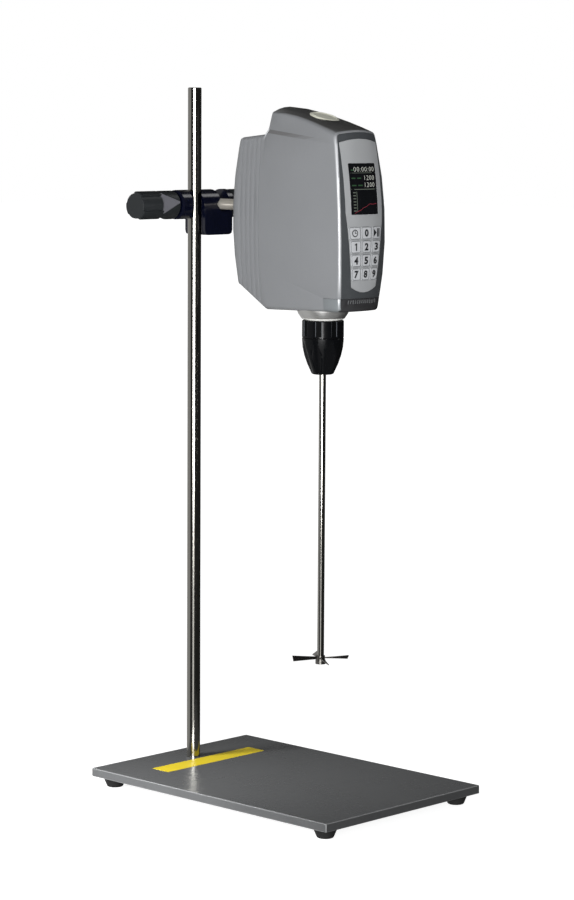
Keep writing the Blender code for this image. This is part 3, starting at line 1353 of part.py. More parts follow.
def make_chuck():
    """The chuck: a core on the spindle, a ribbed collar, a turning sleeve and three jaws."""
    nose_face = CHUCK_NOSE_RADIUS - CHUCK_NOSE_ROUNDING
    nose_inner = nose_face - CHUCK_LIP
    bore = JAW_NOSE_RADIUS
    profile = (
        (SPINDLE_RADIUS + GAP, -CHUCK_TOP - GAP),
        (CHUCK_CORE_RADIUS, -CHUCK_TOP - GAP),
        (CHUCK_CORE_RADIUS, -CHUCK_CORE_STRAIGHT),
        (nose_inner - CHUCK_NOSE_GAP, -CHUCK_NOSE + CHUCK_NOSE_GAP),
        (bore, -CHUCK_NOSE + CHUCK_NOSE_GAP),
        (bore, -SPINDLE_DROP - GAP),
        (SPINDLE_RADIUS + GAP, -SPINDLE_DROP - GAP),
    )
    core = turned("chuck_body", profile, "gear_steel", spindle)
    collar_inner = CHUCK_CORE_RADIUS + GAP
    profile = (
        (collar_inner, -CHUCK_TOP), (CHUCK_RADIUS - CHUCK_EDGE, -CHUCK_TOP),
        (CHUCK_RADIUS, -CHUCK_TOP - CHUCK_EDGE), (CHUCK_RADIUS, -CHUCK_SPLIT + CHUCK_EDGE / 2),
        (CHUCK_RADIUS - CHUCK_EDGE / 2, -CHUCK_SPLIT), (collar_inner, -CHUCK_SPLIT),
    )
    collar = turned("chuck_collar", profile, "black_plastic", spindle)
    grooves = []
    for index in range(CHUCK_GROOVES):
        turn = Matrix.Rotation(CHUCK_GROOVE_TURN + 2 * math.pi * index / CHUCK_GROOVES, 4, "Z")
        width = 2 * math.pi * CHUCK_RADIUS / CHUCK_GROOVES * CHUCK_GROOVE_SHARE
        groove = block("groove", (CHUCK_RADIUS - CHUCK_GROOVE_DEPTH, -width / 2,
                                  -CHUCK_SPLIT + CHUCK_EDGE * 2),
                       (CHUCK_RADIUS + OVERRUN, width / 2, -CHUCK_TOP + OVERRUN))
        groove.transform(turn)
        grooves.append(groove)
    cut(collar, cutter("collar_grooves", joined("collar_grooves", grooves), spindle))

    start = CHUCK_SPLIT + GAP
    outer = [(CHUCK_RADIUS - CHUCK_EDGE / 2, -start)]
    outer.append((CHUCK_RADIUS, -start - CHUCK_EDGE / 2))
    end = CHUCK_NOSE - CHUCK_NOSE_ROUNDING
    for share in CHUCK_CURVE_SHARES:
        depth = blend(CHUCK_STRAIGHT, end, share)
        outer.append((chuck_radius(depth), -depth))
    outer.append((CHUCK_NOSE_RADIUS - CHUCK_NOSE_ROUNDING / 3,
                  -end - CHUCK_NOSE_ROUNDING * 2 / 3))
    outer.append((nose_face, -CHUCK_NOSE))
    inner = [
        (nose_inner, -CHUCK_NOSE),
        (CHUCK_CORE_RADIUS + GAP * 2, -CHUCK_CORE_STRAIGHT - GAP),
        (CHUCK_CORE_RADIUS + GAP * 2, -start),
    ]
    sleeve = turned("chuck_sleeve", outer + inner, "black_plastic", spindle)
    flutes = []
    for index in range(CHUCK_FLUTES):
        angle = 2 * math.pi * (index + 1 / 2) / CHUCK_FLUTES
        flute = cylinder("flute", CHUCK_FLUTE_WIDTH / 2, -CHUCK_NOSE, 0,
                         centre=(CHUCK_FLUTE_WIDTH / 2, 0, 0), steps=CHUCK_FLUTE_STEPS)
        flute.transform(Matrix.Rotation(angle, 4, "Z")
                        @ Matrix.Translation((CHUCK_RADIUS, 0, -CHUCK_FLUTE_START))
                        @ Matrix.Rotation(CHUCK_FLUTE_SLOPE, 4, "Y"))
        flutes.append(flute)
    cut(sleeve, cutter("sleeve_flutes", joined("sleeve_flutes", flutes), spindle))

    lean = JAW_LENGTH * math.cos(JAW_TILT)
    for index in range(JAW_COUNT):
        turn = Matrix.Rotation(2 * math.pi * index / JAW_COUNT, 4, "Z")
        tip = Vector((JAW_NOSE_RADIUS, 0, -JAW_NOSE_LEVEL))
        aim = turn @ Matrix.Translation(tip) @ Matrix.Rotation(JAW_TILT, 4, "Y")
        hole = cylinder("jaw_bore", JAW_RADIUS + GAP, -OVERRUN * 2, JAW_LENGTH + JAW_BORE_EXTRA,
                        steps=SMALL_STEPS)
        hole.transform(aim)
        cut(core, cutter(f"jaw_bore_{index + 1}", hole, spindle))
        body = cylinder("jaw", JAW_RADIUS, 0, JAW_LENGTH, steps=SMALL_STEPS)
        origin = aim.to_translation()
        body.transform(Matrix.Translation(-origin) @ aim)
        jaw = piece(f"chuck_jaw_{index + 1}", body, "polished_steel", spindle, origin)
        face = STIRRER_RADIUS + GAP
        trim = block("jaw_face", (-face - JAW_LENGTH, -JAW_LENGTH, -JAW_NOSE_LEVEL - JAW_LENGTH),
                     (face, JAW_LENGTH, -JAW_NOSE_LEVEL + lean + JAW_LENGTH))
        trim.transform(turn)
        cut(jaw, cutter(f"jaw_face_{index + 1}", trim, spindle))


def make_stirrer():
    """The long shaft and its four bladed propeller."""
    high = -STIRRER_DROP
    low = high - STIRRER_LENGTH
    profile = (
        (0, high), (STIRRER_RADIUS - STIRRER_CHAMFER, high),
        (STIRRER_RADIUS, high - STIRRER_CHAMFER), (STIRRER_RADIUS, low + STIRRER_CHAMFER),
        (STIRRER_RADIUS - STIRRER_CHAMFER, low), (0, low),
    )
    turned("stirrer_shaft", profile, "polished_steel", spindle)
    inside = STIRRER_RADIUS + GAP
    profile = (
        (inside, low + PROPELLER_SLEEVE), (PROPELLER_SLEEVE_RADIUS, low + PROPELLER_SLEEVE),
        (PROPELLER_SLEEVE_RADIUS, low + PROPELLER_HUB),
        (PROPELLER_HUB_RADIUS, low + PROPELLER_HUB), (PROPELLER_HUB_RADIUS, low), (inside, low),
    )
    hub = turned("propeller", profile, "polished_steel", spindle)
    blades = []
    for index in range(PROPELLER_BLADES):
        turn = PROPELLER_TURN + 2 * math.pi * index / PROPELLER_BLADES
        blades.append(blade_mesh(turn, low + (PROPELLER_HUB + PROPELLER_SLEEVE) / 2))
    boolean(hub, cutter("propeller_blades", joined("propeller_blades", blades), spindle), "UNION")


def blade_mesh(turn, level):
    """One blade, widening and twisting from the hub to its tip."""
    bm = bmesh.new()
    bmesh.ops.create_cube(bm, size=1, matrix=Matrix.Translation((1 / 2, 0, 0)))
    long_edges = [edge for edge in bm.edges if edge.verts[0].co.x != edge.verts[1].co.x]
    bmesh.ops.subdivide_edges(bm, edges=long_edges, cuts=BLADE_STEPS - 1)
    start = (STIRRER_RADIUS + GAP + PROPELLER_SLEEVE_RADIUS) / 2
    for vertex in bm.verts:
        share = vertex.co.x
        width = blend(BLADE_ROOT_WIDTH, BLADE_TIP_WIDTH, share)
        pitch = blend(BLADE_ROOT_PITCH, BLADE_TIP_PITCH, share)
        flat = Vector((0, vertex.co.y * width, vertex.co.z * BLADE_THICKNESS))
        flat.rotate(Matrix.Rotation(pitch, 3, "X"))
        vertex.co = (blend(start, PROPELLER_RADIUS, share), flat.y, flat.z)
    bm.transform(Matrix.Translation((0, 0, level)) @ Matrix.Rotation(turn, 4, "Z"))
    return mesh_from(bm, "blade")


def make_cap():
    """The push-in cap over the spindle's upper end."""
    plug = CAP_HOLE_RADIUS - GAP
    profile = (
        (0, CAP_LIFT_SEAT + CAP_RIM + CAP_CROWN),
        (CAP_RADIUS * CAP_CROWN_SHARES[0],
         CAP_LIFT_SEAT + CAP_RIM + CAP_CROWN * CAP_CROWN_SHARES[1]),
        (CAP_RADIUS - CAP_RIM, CAP_LIFT_SEAT + CAP_RIM),
        (CAP_RADIUS, CAP_LIFT_SEAT + CAP_RIM / 2),
        (CAP_RADIUS, CAP_LIFT_SEAT),
        (plug, CAP_LIFT_SEAT),
        (plug, -CAP_PLUG),
        (plug - CAP_RIM, -CAP_PLUG),
        (plug - CAP_RIM, -CAP_RIM),
        (0, -CAP_RIM),
    )
    turned("shaft_hole_cap", profile, "cream_plastic", cap_place)


def make_rear():
    """The rod flange, and the plate with the mains inlet and the rocker switch."""
    back = rear_face(0, ROD_LEVEL)
    start, end = FRAME_BACK - FRAME_BACK_THICKNESS, back + GAP
    inside = ROD_RADIUS + GAP
    outer = end + FLANGE_WIDTH
    profile = (
        (inside, outer), (FLANGE_RADIUS - FLANGE_EDGE, outer), (FLANGE_RADIUS, outer - FLANGE_EDGE),
        (FLANGE_RADIUS, end), (FLANGE_SPIGOT_RADIUS, end), (FLANGE_SPIGOT_RADIUS, start),
        (inside, start),
    )
    flange = turned("rod_flange", profile, "satin_aluminium", head_axis, facing="+Y")
    holes = []
    for index in range(FLANGE_SCREWS):
        angle = math.radians(90) + 2 * math.pi * index / FLANGE_SCREWS
        spot = (FLANGE_SCREW_CIRCLE * math.cos(angle), 0, FLANGE_SCREW_CIRCLE * math.sin(angle))
        holes.append(cylinder("hole", FLANGE_SCREW_RADIUS + GAP, outer - FLANGE_WIDTH / 2,
                              outer + OVERRUN, "+Y", spot, SMALL_STEPS))
    cut(flange, cutter("flange_screw_holes", joined("flange_screw_holes", holes), head_axis))
    rear_end = ROD_TAIL
    profile = (
        (0, rear_end), (ROD_RADIUS - ROD_CHAMFER, rear_end), (ROD_RADIUS, rear_end - ROD_CHAMFER),
        (ROD_RADIUS, start - SPINDLE_REACH + GAP), (0, start - SPINDLE_REACH + GAP),
    )
    turned("support_rod", profile, "polished_steel", rod_axis, facing="+Y")

    half = PANEL_PLATE_WIDTH / 2
    corners = rounded(((-half, PANEL_PLATE_LOW), (half, PANEL_PLATE_LOW),
                       (half, PANEL_PLATE_HIGH), (-half, PANEL_PLATE_HIGH)), PANEL_PLATE_CORNER)
    face = PANEL_PLATE_FACE
    plate = piece("socket_plate", prism("socket_plate", [corners], face - PANEL_PLATE_THICKNESS,
                                        face, "XZ"), "black_plastic", head)
    body_half_x, body_half_z = INLET_BODY_WIDTH / 2 + GAP, INLET_BODY_HEIGHT / 2 + GAP
    hole = block("inlet_hole", (-body_half_x, face - PANEL_PLATE_THICKNESS - OVERRUN,
                                INLET_LEVEL - body_half_z),
                 (body_half_x, face + OVERRUN, INLET_LEVEL + body_half_z))
    cut(plate, cutter("inlet_hole", hole, head))
    make_inlet(face)
    make_switch(plate, face)


def make_inlet(face):
    """A three pin mains inlet: a flange, a body and a socket with its pins."""
    half_x, half_z = INLET_WIDTH / 2, INLET_HEIGHT / 2
    mesh = block("mains_inlet", (-half_x, face + GAP, INLET_LEVEL - half_z),
                 (half_x, face + GAP + INLET_FLANGE, INLET_LEVEL + half_z))
    inlet = piece("mains_inlet", mesh, "black_plastic", head)
    half_x, half_z = INLET_BODY_WIDTH / 2, INLET_BODY_HEIGHT / 2
    outer = face + GAP + INLET_FLANGE
    inner = outer - INLET_BODY_DEPTH
    body = block("inlet_body", (-half_x, inner, INLET_LEVEL - half_z),
                 (half_x, face + GAP + INLET_FLANGE / 2, INLET_LEVEL + half_z))
    boolean(inlet, cutter("inlet_body", body, head), "UNION")
    half_x, half_z = INLET_SOCKET_WIDTH / 2, INLET_SOCKET_HEIGHT / 2
    corner = INLET_SOCKET_CORNER
    socket = (
        (-half_x, INLET_LEVEL - half_z), (half_x, INLET_LEVEL - half_z),
        (half_x, INLET_LEVEL + half_z - corner), (half_x - corner, INLET_LEVEL + half_z),
        (-half_x + corner, INLET_LEVEL + half_z), (-half_x, INLET_LEVEL + half_z - corner),
    )
    floor = outer - INLET_SOCKET_DEPTH
    cut(inlet, cutter("inlet_socket", prism("inlet_socket", [socket], floor, outer + OVERRUN,
                                            "XZ"), head))
    pins = []
    for across, raise_sign in ((-INLET_PIN_SPREAD, -1), (0, 1), (INLET_PIN_SPREAD, -1)):
        middle = INLET_LEVEL + INLET_PIN_RAISE + raise_sign * INLET_PIN_RAISE / 2
        pins.append(block("pin", (across - INLET_PIN_WIDTH / 2, floor - OVERRUN / 2,
                                  middle - INLET_PIN_HEIGHT / 2),
                          (across + INLET_PIN_WIDTH / 2, floor + INLET_PIN_LENGTH,
                           middle + INLET_PIN_HEIGHT / 2)))
    boolean(inlet, cutter("inlet_pins", joined("inlet_pins", pins), head), "UNION")


def make_switch(plate, face):
    """The switch's well in the plate, and the rocker in it, switched off."""
    half_x, half_z = SWITCH_WIDTH / 2, SWITCH_HEIGHT / 2
    inner = face - SWITCH_DEPTH
    well = block("switch_well", (-half_x, inner, SWITCH_LEVEL - half_z),
                 (half_x, face + SWITCH_FLANGE, SWITCH_LEVEL + half_z))
    boolean(plate, cutter("switch_well", well, head), "UNION")
    inside_x, inside_z = half_x - SWITCH_FRAME, half_z - SWITCH_FRAME
    room = block("switch_room", (-inside_x, inner + SWITCH_FRAME, SWITCH_LEVEL - inside_z),
                 (inside_x, face + SWITCH_FLANGE + OVERRUN, SWITCH_LEVEL + inside_z))
    cut(plate, cutter("switch_room", room, head))
    reach = inside_x - ROCKER_END_GAP
    axle = face + SWITCH_FLANGE - ROCKER_AXLE_DEPTH
    middle = ROCKER_AXLE_DEPTH + ROCKER_PROUD
    rise = reach * math.tan(ROCKER_THROW)
    profile = rounded((
        (-reach, middle + rise), (-reach, ROCKER_BELLY), (-ROCKER_AXLE_DEPTH, -ROCKER_BELLY),
        (ROCKER_AXLE_DEPTH, -ROCKER_BELLY), (reach, ROCKER_BELLY), (reach, middle + rise),
        (0, middle),
    ), ROCKER_EDGE)
    body_half = inside_z - GAP
    mesh = prism("power_rocker", [profile], -body_half, body_half, "XY")
    rocker = piece("power_rocker", mesh, "black_plastic", head, (0, axle, SWITCH_LEVEL))
    rocker.rotation_euler = (0, 0, ROCKER_THROW)


spindle = place("spindle_axis", head)
motor = place("motor_axis", head, (0, SHAFT_DISTANCE, 0))


def cap_seat():
    """Height of the housing's crowned top above the spindle."""
    return max(height for _, height in outline(
        (0 - front_corner(HUMP_TOP)) / (rear_corner(HUMP_TOP) - front_corner(HUMP_TOP)), 0))


cap_place = place("cap_place", head, (0, 0, cap_seat() - CAP_SINK))
cap_place.rotation_euler = (CAP_TILT, 0, 0)

make_housing()
make_front()
make_keys()
make_frame()
make_bearing("lower_bearing", WALL + GAP * 2)
make_bearing("upper_bearing", DECK_LOW)
make_gears()
make_motor()
make_spindle()
make_neck()
make_chuck()
make_stirrer()
make_cap()
make_rear()

bpy.context.view_layer.update()
for thing in list(PARTS.objects):
    if thing.type == "MESH":
        bake(thing)
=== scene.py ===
"""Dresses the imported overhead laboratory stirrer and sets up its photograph.

Each sub-assembly below is a class that refines its solids into smooth pieces with fine edges,
adds the small parts that the solids leave out, such as screws, printed key legends and the
display's picture, and gives every piece its finish. Lengths are metres, Z points up and the
front of the object faces -Y.
"""

from __future__ import annotations

import json
import logging
import math
from contextlib import contextmanager
from dataclasses import dataclass, field
from enum import Enum
from typing import Callable, Iterable, Iterator, Mapping, Sequence

import bmesh
import bpy
from mathutils import Matrix, Vector
from mathutils.bvhtree import BVHTree
from mathutils.geometry import convex_hull_2d


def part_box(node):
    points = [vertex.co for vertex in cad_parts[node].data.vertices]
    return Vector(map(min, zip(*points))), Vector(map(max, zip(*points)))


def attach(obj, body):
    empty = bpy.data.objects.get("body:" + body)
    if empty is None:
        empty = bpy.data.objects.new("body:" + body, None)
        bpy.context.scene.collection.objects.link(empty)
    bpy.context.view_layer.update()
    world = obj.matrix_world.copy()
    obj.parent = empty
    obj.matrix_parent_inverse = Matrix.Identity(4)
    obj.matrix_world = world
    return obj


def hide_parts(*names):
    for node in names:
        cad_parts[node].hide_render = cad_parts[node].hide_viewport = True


LOG = logging.getLogger("overhead_stirrer")
Profile = Sequence[tuple[float, float]]
Colour = tuple[float, float, float]
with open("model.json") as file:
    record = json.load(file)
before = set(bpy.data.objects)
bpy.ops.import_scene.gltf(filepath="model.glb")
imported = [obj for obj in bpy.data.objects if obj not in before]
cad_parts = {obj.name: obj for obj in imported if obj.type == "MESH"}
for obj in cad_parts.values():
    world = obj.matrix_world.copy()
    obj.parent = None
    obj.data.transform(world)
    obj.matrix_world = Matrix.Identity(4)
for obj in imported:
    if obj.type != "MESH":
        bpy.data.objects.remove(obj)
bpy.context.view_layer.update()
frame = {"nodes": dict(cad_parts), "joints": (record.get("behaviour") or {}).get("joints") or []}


def srgb(red: int, green: int, blue: int) -> Colour:
    """Turns a colour as it is seen on screen into a linear one.

    Args:
        red: Red, from 0 to 255.
        green: Green, from 0 to 255.
        blue: Blue, from 0 to 255.

    Returns:
        The linear red, green and blue, from 0 to 1.
    """
    def linear(level: int) -> float:
        """Undoes the screen's curve for one level."""
        share = level / 255
        return share / 12.92 if share <= 0.04045 else ((share + 0.055) / 1.055) ** 2.4
    return linear(red), linear(green), linear(blue)


class Signal:
    """A number that runs through a material, on which plain arithmetic adds Math nodes."""

    def __init__(self, sheet: NodeSheet, socket: bpy.types.NodeSocket) -> None:
        """Wraps a socket of a node tree."""
        self.sheet = sheet
        self.socket = socket

    def math(self, operation: str, first: object, second: object) -> Signal:
        """Adds one Math node.

        Args:
            operation: The node's operation.
            first: A signal or a number.
            second: A signal or a number.

        Returns:
            The node's result.
        """
        node = self.sheet.node("ShaderNodeMath", {"operation": operation}, {0: first, 1: second})
        return Signal(self.sheet, node.outputs[0])

    def __add__(self, other: object) -> Signal:
        """Adds a signal or number."""
        return self.math("ADD", self, other)

    def __sub__(self, other: object) -> Signal:
        """Takes a signal or number away."""
        return self.math("SUBTRACT", self, other)

    def __rsub__(self, other: object) -> Signal:
        """Is taken away from a number."""
        return self.math("SUBTRACT", other, self)

    def __mul__(self, other: object) -> Signal:
        """Multiplies by a signal or number."""
        return self.math("MULTIPLY", self, other)

    __radd__ = __add__
    __rmul__ = __mul__

    def above(self, edge: float, softness: float) -> Signal:
        """A soft step that rises from 0 to 1 where the signal passes an edge.

        Args:
            edge: The value at the middle of the step.
            softness: Half the width of the step.

        Returns:
            The step.
        """
        node = self.sheet.node(
            "ShaderNodeMapRange", {"interpolation_type": "SMOOTHSTEP"},
            {"Value": self, "From Min": edge - softness, "From Max": edge + softness})
        return Signal(self.sheet, node.outputs["Result"])

    def between(self, start: float, end: float, softness: float) -> Signal:
        """A soft band that is 1 between two edges and 0 outside them."""
        return self.above(start, softness) * (1 - self.above(end, softness))


class NodeSheet:
    """A node tree that is being filled."""

    def __init__(self, tree: bpy.types.NodeTree) -> None:
        """Takes the tree to fill."""
        self.tree = tree

    def node(self, kind: str, settings: Mapping[str, object] | None = None,
             inputs: Mapping[object, object] | None = None) -> bpy.types.Node:
        """Adds a node, sets it up and feeds its sockets.

        Args:
            kind: The node's type.
            settings: Properties of the node, set first.
            inputs: A value, signal or socket for each input, by name or number.

        Returns:
            The node.
        """
        made = self.tree.nodes.new(kind)
        for key, value in (settings or {}).items():
            setattr(made, key, value)
        for key, value in (inputs or {}).items():
            self.feed(made.inputs[key], value)
        return made

    def feed(self, socket: bpy.types.NodeSocket, value: object) -> None:
        """Sets a socket's value or links it.

        Args:
            socket: The input.
            value: A number, colour, signal or output socket.
        """
        if isinstance(value, Signal):
            value = value.socket
        if isinstance(value, bpy.types.NodeSocket):
            self.tree.links.new(value, socket)
        else:
            socket.default_value = value


class Recipe(NodeSheet):
    """Builds the node tree of one material."""

    def __init__(self, name: str) -> None:
        """Starts a material that holds one Principled shader.

        Args:
            name: The material's name.
        """
        self.material = bpy.data.materials.new(name)
        self.material.use_nodes = True
        super().__init__(self.material.node_tree)
        self.shader = self.tree.nodes["Principled BSDF"]
        self.place = self.node("ShaderNodeTexCoord").outputs["Object"]

    def set(self, **values: object) -> None:
        """Feeds the shader's sockets.

        Args:
            values: A value for each socket, by its name with _ for each space.
        """
        for key, value in values.items():
            socket = self.shader.inputs[key.replace("_", " ")]
            if isinstance(value, tuple) and len(value) == 3 and socket.type == "RGBA":
                value = (*value, 1.0)
            self.feed(socket, value)

    def stretched(self, stretch: Colour, turn: float = 0.0) -> bpy.types.NodeSocket:
        """The piece's own coordinates, squeezed along its axes and turned about Z.

        Args:
            stretch: How much faster a pattern changes along X, Y and Z.
            turn: Turn about Z in radians.

        Returns:
            The coordinates.
        """
        node = self.node("ShaderNodeMapping", None, {
            "Vector": self.place, "Scale": stretch, "Rotation": (0.0, 0.0, turn)})
        return node.outputs["Vector"]

    def noise(self, size: float, detail: float = 2.0, stretch: Colour = (1.0, 1.0, 1.0)) -> Signal:
        """Soft random variation, about 0.5 on average.

        Args:
            size: Size of a patch, in metres.
            detail: How many finer layers are added.
            stretch: How much faster the pattern changes along X, Y and Z.

        Returns:
            The variation.
        """
        node = self.node("ShaderNodeTexNoise", None, {
            "Vector": self.stretched(stretch), "Scale": 1 / size, "Detail": detail})
        return Signal(self, node.outputs["Fac"])

    def axis(self, name: str) -> Signal:
        """The X, Y or Z of the piece's own coordinates, in metres."""
        return Signal(self, self.node("ShaderNodeSeparateXYZ", None,
                                      {0: self.place}).outputs[name])

    def mix(self, factor: object, first: Colour, second: object) -> bpy.types.NodeSocket:
        """Blends two colours.

        Args:
            factor: Share of the second colour.
            first: The first colour.
            second: The second colour, or a colour socket.

        Returns:
            The blended colour.
        """
        node = self.node("ShaderNodeMix", {"data_type": "RGBA"}, {0: factor})
        self.feed(node.inputs[6], (*first, 1.0) if isinstance(first, tuple) else first)
        self.feed(node.inputs[7], (*second, 1.0) if isinstance(second, tuple) else second)
        return node.outputs[2]

    def varied(self, colour: Colour, tone: Signal, spread: float) -> bpy.types.NodeSocket:
        """A colour that gets lighter and darker by the same share as a signal varies."""
        return self.mix(tone, shade(colour, 1 - spread), shade(colour, 1 + spread))

    def bump(self, height: Signal, depth: float) -> None:
        """Raises the surface by a signal.

        Args:
            height: The relief, from 0 to 1.
            depth: How far the relief reaches, in metres.
        """
        node = self.node("ShaderNodeBump", None, {"Height": height, "Distance": depth})
        self.set(Normal=node.outputs["Normal"])


def shade(colour: Colour, factor: float) -> Colour:
    """Makes a colour lighter or darker by a factor."""
    return colour[0] * factor, colour[1] * factor, colour[2] * factor


@dataclass(frozen=True)
class Finish:
    """A surface finish: the slot of the record that it belongs to and how it is built."""

    name: str
    slot: str
    colour: Colour
    roughness: float

    def build(self, recipe: Recipe) -> None:
        """Adds the finish's own nodes to a new material."""
        raise NotImplementedError

    def worn(self, wear: Signal, spread: float) -> Signal:
        """The roughness, which a signal about 0.5 raises and lowers."""
        return self.roughness + (wear - 0.5) * spread

    def material(self) -> bpy.types.Material:
        """Gives the finish's material, built when it is first asked for.

        Returns:
            The material.
        """
        made = bpy.data.materials.get(self.name)
        if made is None:
            recipe = Recipe(self.name)
            self.build(recipe)
            made = recipe.material
        return made


@dataclass(frozen=True)
class Moulded(Finish):
    """Moulded plastic or rubber: fine grain, slight mottling and a polish that varies."""

    grain: float = 0.0009
    relief: float = 0.00003
    mottle: float = 0.10
    gloss: float = 0.5
    patch: float = 0.030
    patch_share: float = 0.7
    wear: float = 0.16

    def build(self, recipe: Recipe) -> None:
        """Adds mottled colour, uneven polish and a moulded grain.

        Args:
            recipe: The new material.
        """
        broad = recipe.noise(self.patch, 3.0)
        fine = recipe.noise(self.grain)
        tone = broad * self.patch_share + fine * (1 - self.patch_share)
        recipe.set(Base_Color=recipe.varied(self.colour, tone, self.mottle),
                   Roughness=self.worn(broad, self.wear), Specular_IOR_Level=self.gloss)
        recipe.bump(fine, self.relief)


@dataclass(frozen=True)
class Paint(Finish):
    """Silver paint on a moulding: fine metal flake under a satin clear coat."""

    flake: float = 0.0007
    metal: float = 0.25
    coat: float = 0.45
    coat_roughness: float = 0.18
    # Painted light: the crown and crease colours are painted shade, the rim colour is a painted
    # highlight.
    crown: Colour | None = None
    rim: Colour | None = None
    crease: Colour | None = None
    flake_share: float = 0.45
    spread: float = 0.10
    wear: float = 0.10
    cloud: float = 0.060
    mark: float = 0.012
    mark_edge: tuple[float, float] = (0.62, 0.08)
    mark_wear: float = 0.05
    peel: float = 0.0016
    peel_depth: float = 0.00002

    def build(self, recipe: Recipe) -> None:
        """Adds flake, orange peel and handling marks, with painted shade on the marked crown and
        crease and a painted highlight on the marked rims.

        Args:
            recipe: The new material.
        """
        flake = recipe.noise(self.flake)
        broad = recipe.noise(self.cloud, 4.0)
        marks = recipe.noise(self.mark, 5.0, (1.0, 1.0, 0.35)).above(*self.mark_edge)
        tone = flake * self.flake_share + broad * (1 - self.flake_share)
        base = recipe.varied(self.colour, tone, self.spread)
        # Mixes in the painted shade of the crown and crease and the painted highlight of the rims,
        # each by its attribute.
        for name, colour in (("crown", self.crown), ("rim", self.rim), ("crease", self.crease)):
            if colour is not None:
                share = recipe.node("ShaderNodeAttribute", {"attribute_name": name})
                base = recipe.mix(share.outputs["Fac"], base,
                                  recipe.varied(colour, tone, self.spread))
        recipe.set(Base_Color=base, Metallic=self.metal,
                   Roughness=self.worn(broad, self.wear) + marks * self.mark_wear,
                   Coat_Weight=self.coat, Coat_Roughness=self.coat_roughness)
        recipe.bump(recipe.noise(self.peel, 1.0), self.peel_depth)


class Grain(Enum):
    """The way in which a metal surface was ground or turned."""

    ALONG_X = (0.015, 1.0, 1.0)
    ALONG_Y = (1.0, 0.015, 1.0)
    ALONG_Z = (1.0, 1.0, 0.015)
    ROUND_Z = (0.05, 0.05, 1.0)
    ROUND_Y = (0.05, 1.0, 0.05)
    CAST = (1.0, 1.0, 1.0)


@dataclass(frozen=True)
class Metal(Finish):
    """Bare metal with the fine lines that grinding or turning leaves."""

    grain: Grain = Grain.ROUND_Z
    line: float = 0.0006
    depth: float = 0.000012
    contrast: float = 0.12
    metal: float = 1.0
    stain: float = 0.045
    line_share: float = 0.6
    wear: float = 0.2

    def build(self, recipe: Recipe) -> None:
        """Adds grinding lines in colour, polish and relief, and faint stains.

        Args:
            recipe: The new material.
        """
        lines = recipe.noise(self.line, 3.0, self.grain.value)
        stain = recipe.noise(self.stain, 4.0)
        tone = lines * self.line_share + stain * (1 - self.line_share)
        polish = lines * self.wear + stain * self.wear + (1 - self.wear)
        recipe.set(Base_Color=recipe.varied(self.colour, tone, self.contrast),
                   Metallic=self.metal, Roughness=polish * self.roughness)
        recipe.bump(lines, self.depth)


@dataclass(frozen=True)
class Enamel(Finish):
    """Thick glossy enamel on a casting, a little uneven."""

    skin: float = 0.0035
    relief: float = 0.00012
    cloud: float = 0.020
    spread: float = 0.3
    wear: float = 0.12
    gloss: float = 0.3
    coat: float = 0.5
    coat_roughness: float = 0.05

    def build(self, recipe: Recipe) -> None:
        """Adds the casting's unevenness under a glossy coat.

        Args:
            recipe: The new material.
        """
        skin = recipe.noise(self.skin, 3.0)
        cloud = recipe.noise(self.cloud, 3.0)
        recipe.set(Base_Color=recipe.varied(self.colour, cloud, self.spread),
                   Roughness=self.worn(skin, self.wear), Specular_IOR_Level=self.gloss,
                   Coat_Weight=self.coat, Coat_Roughness=self.coat_roughness)
        recipe.bump(skin, self.relief)


@dataclass(frozen=True)
class Film(Moulded):
    """Printed or bare film: even colour with a faint texture."""

    grain: float = 0.0005
    relief: float = 0.000012
    mottle: float = 0.05
    patch: float = 0.025
    patch_share: float = 1.0
    wear: float = 0.12


@dataclass(frozen=True)
class Glass(Finish):
    """Dark glossy window over a display."""

    smear: float = 0.014
    spread: float = 0.3
    wear: float = 0.10
    gloss: float = 0.35

    def build(self, recipe: Recipe) -> None:
        """Adds faint smears to a black gloss.

        Args:
            recipe: The new material.
        """
        smear = recipe.noise(self.smear, 5.0, (1.0, 1.0, 0.5))
        recipe.set(Base_Color=recipe.varied(self.colour, smear, self.spread),
                   Roughness=self.roughness + smear * self.wear, Specular_IOR_Level=self.gloss)


@dataclass(frozen=True)
class Lit(Finish):
    """A lit part of the display's picture."""

    strength: float = 1.0
    cell: float = 0.0008
    spread: float = 0.15
    unlit: float = 0.3

    def build(self, recipe: Recipe) -> None:
        """Adds light that varies a little, as the cells of a display do.

        Args:
            recipe: The new material.
        """
        glow = recipe.varied(self.colour, recipe.noise(self.cell, 1.0), self.spread)
        recipe.set(Base_Color=shade(self.colour, self.unlit), Roughness=self.roughness,
                   Emission_Color=glow, Emission_Strength=self.strength)


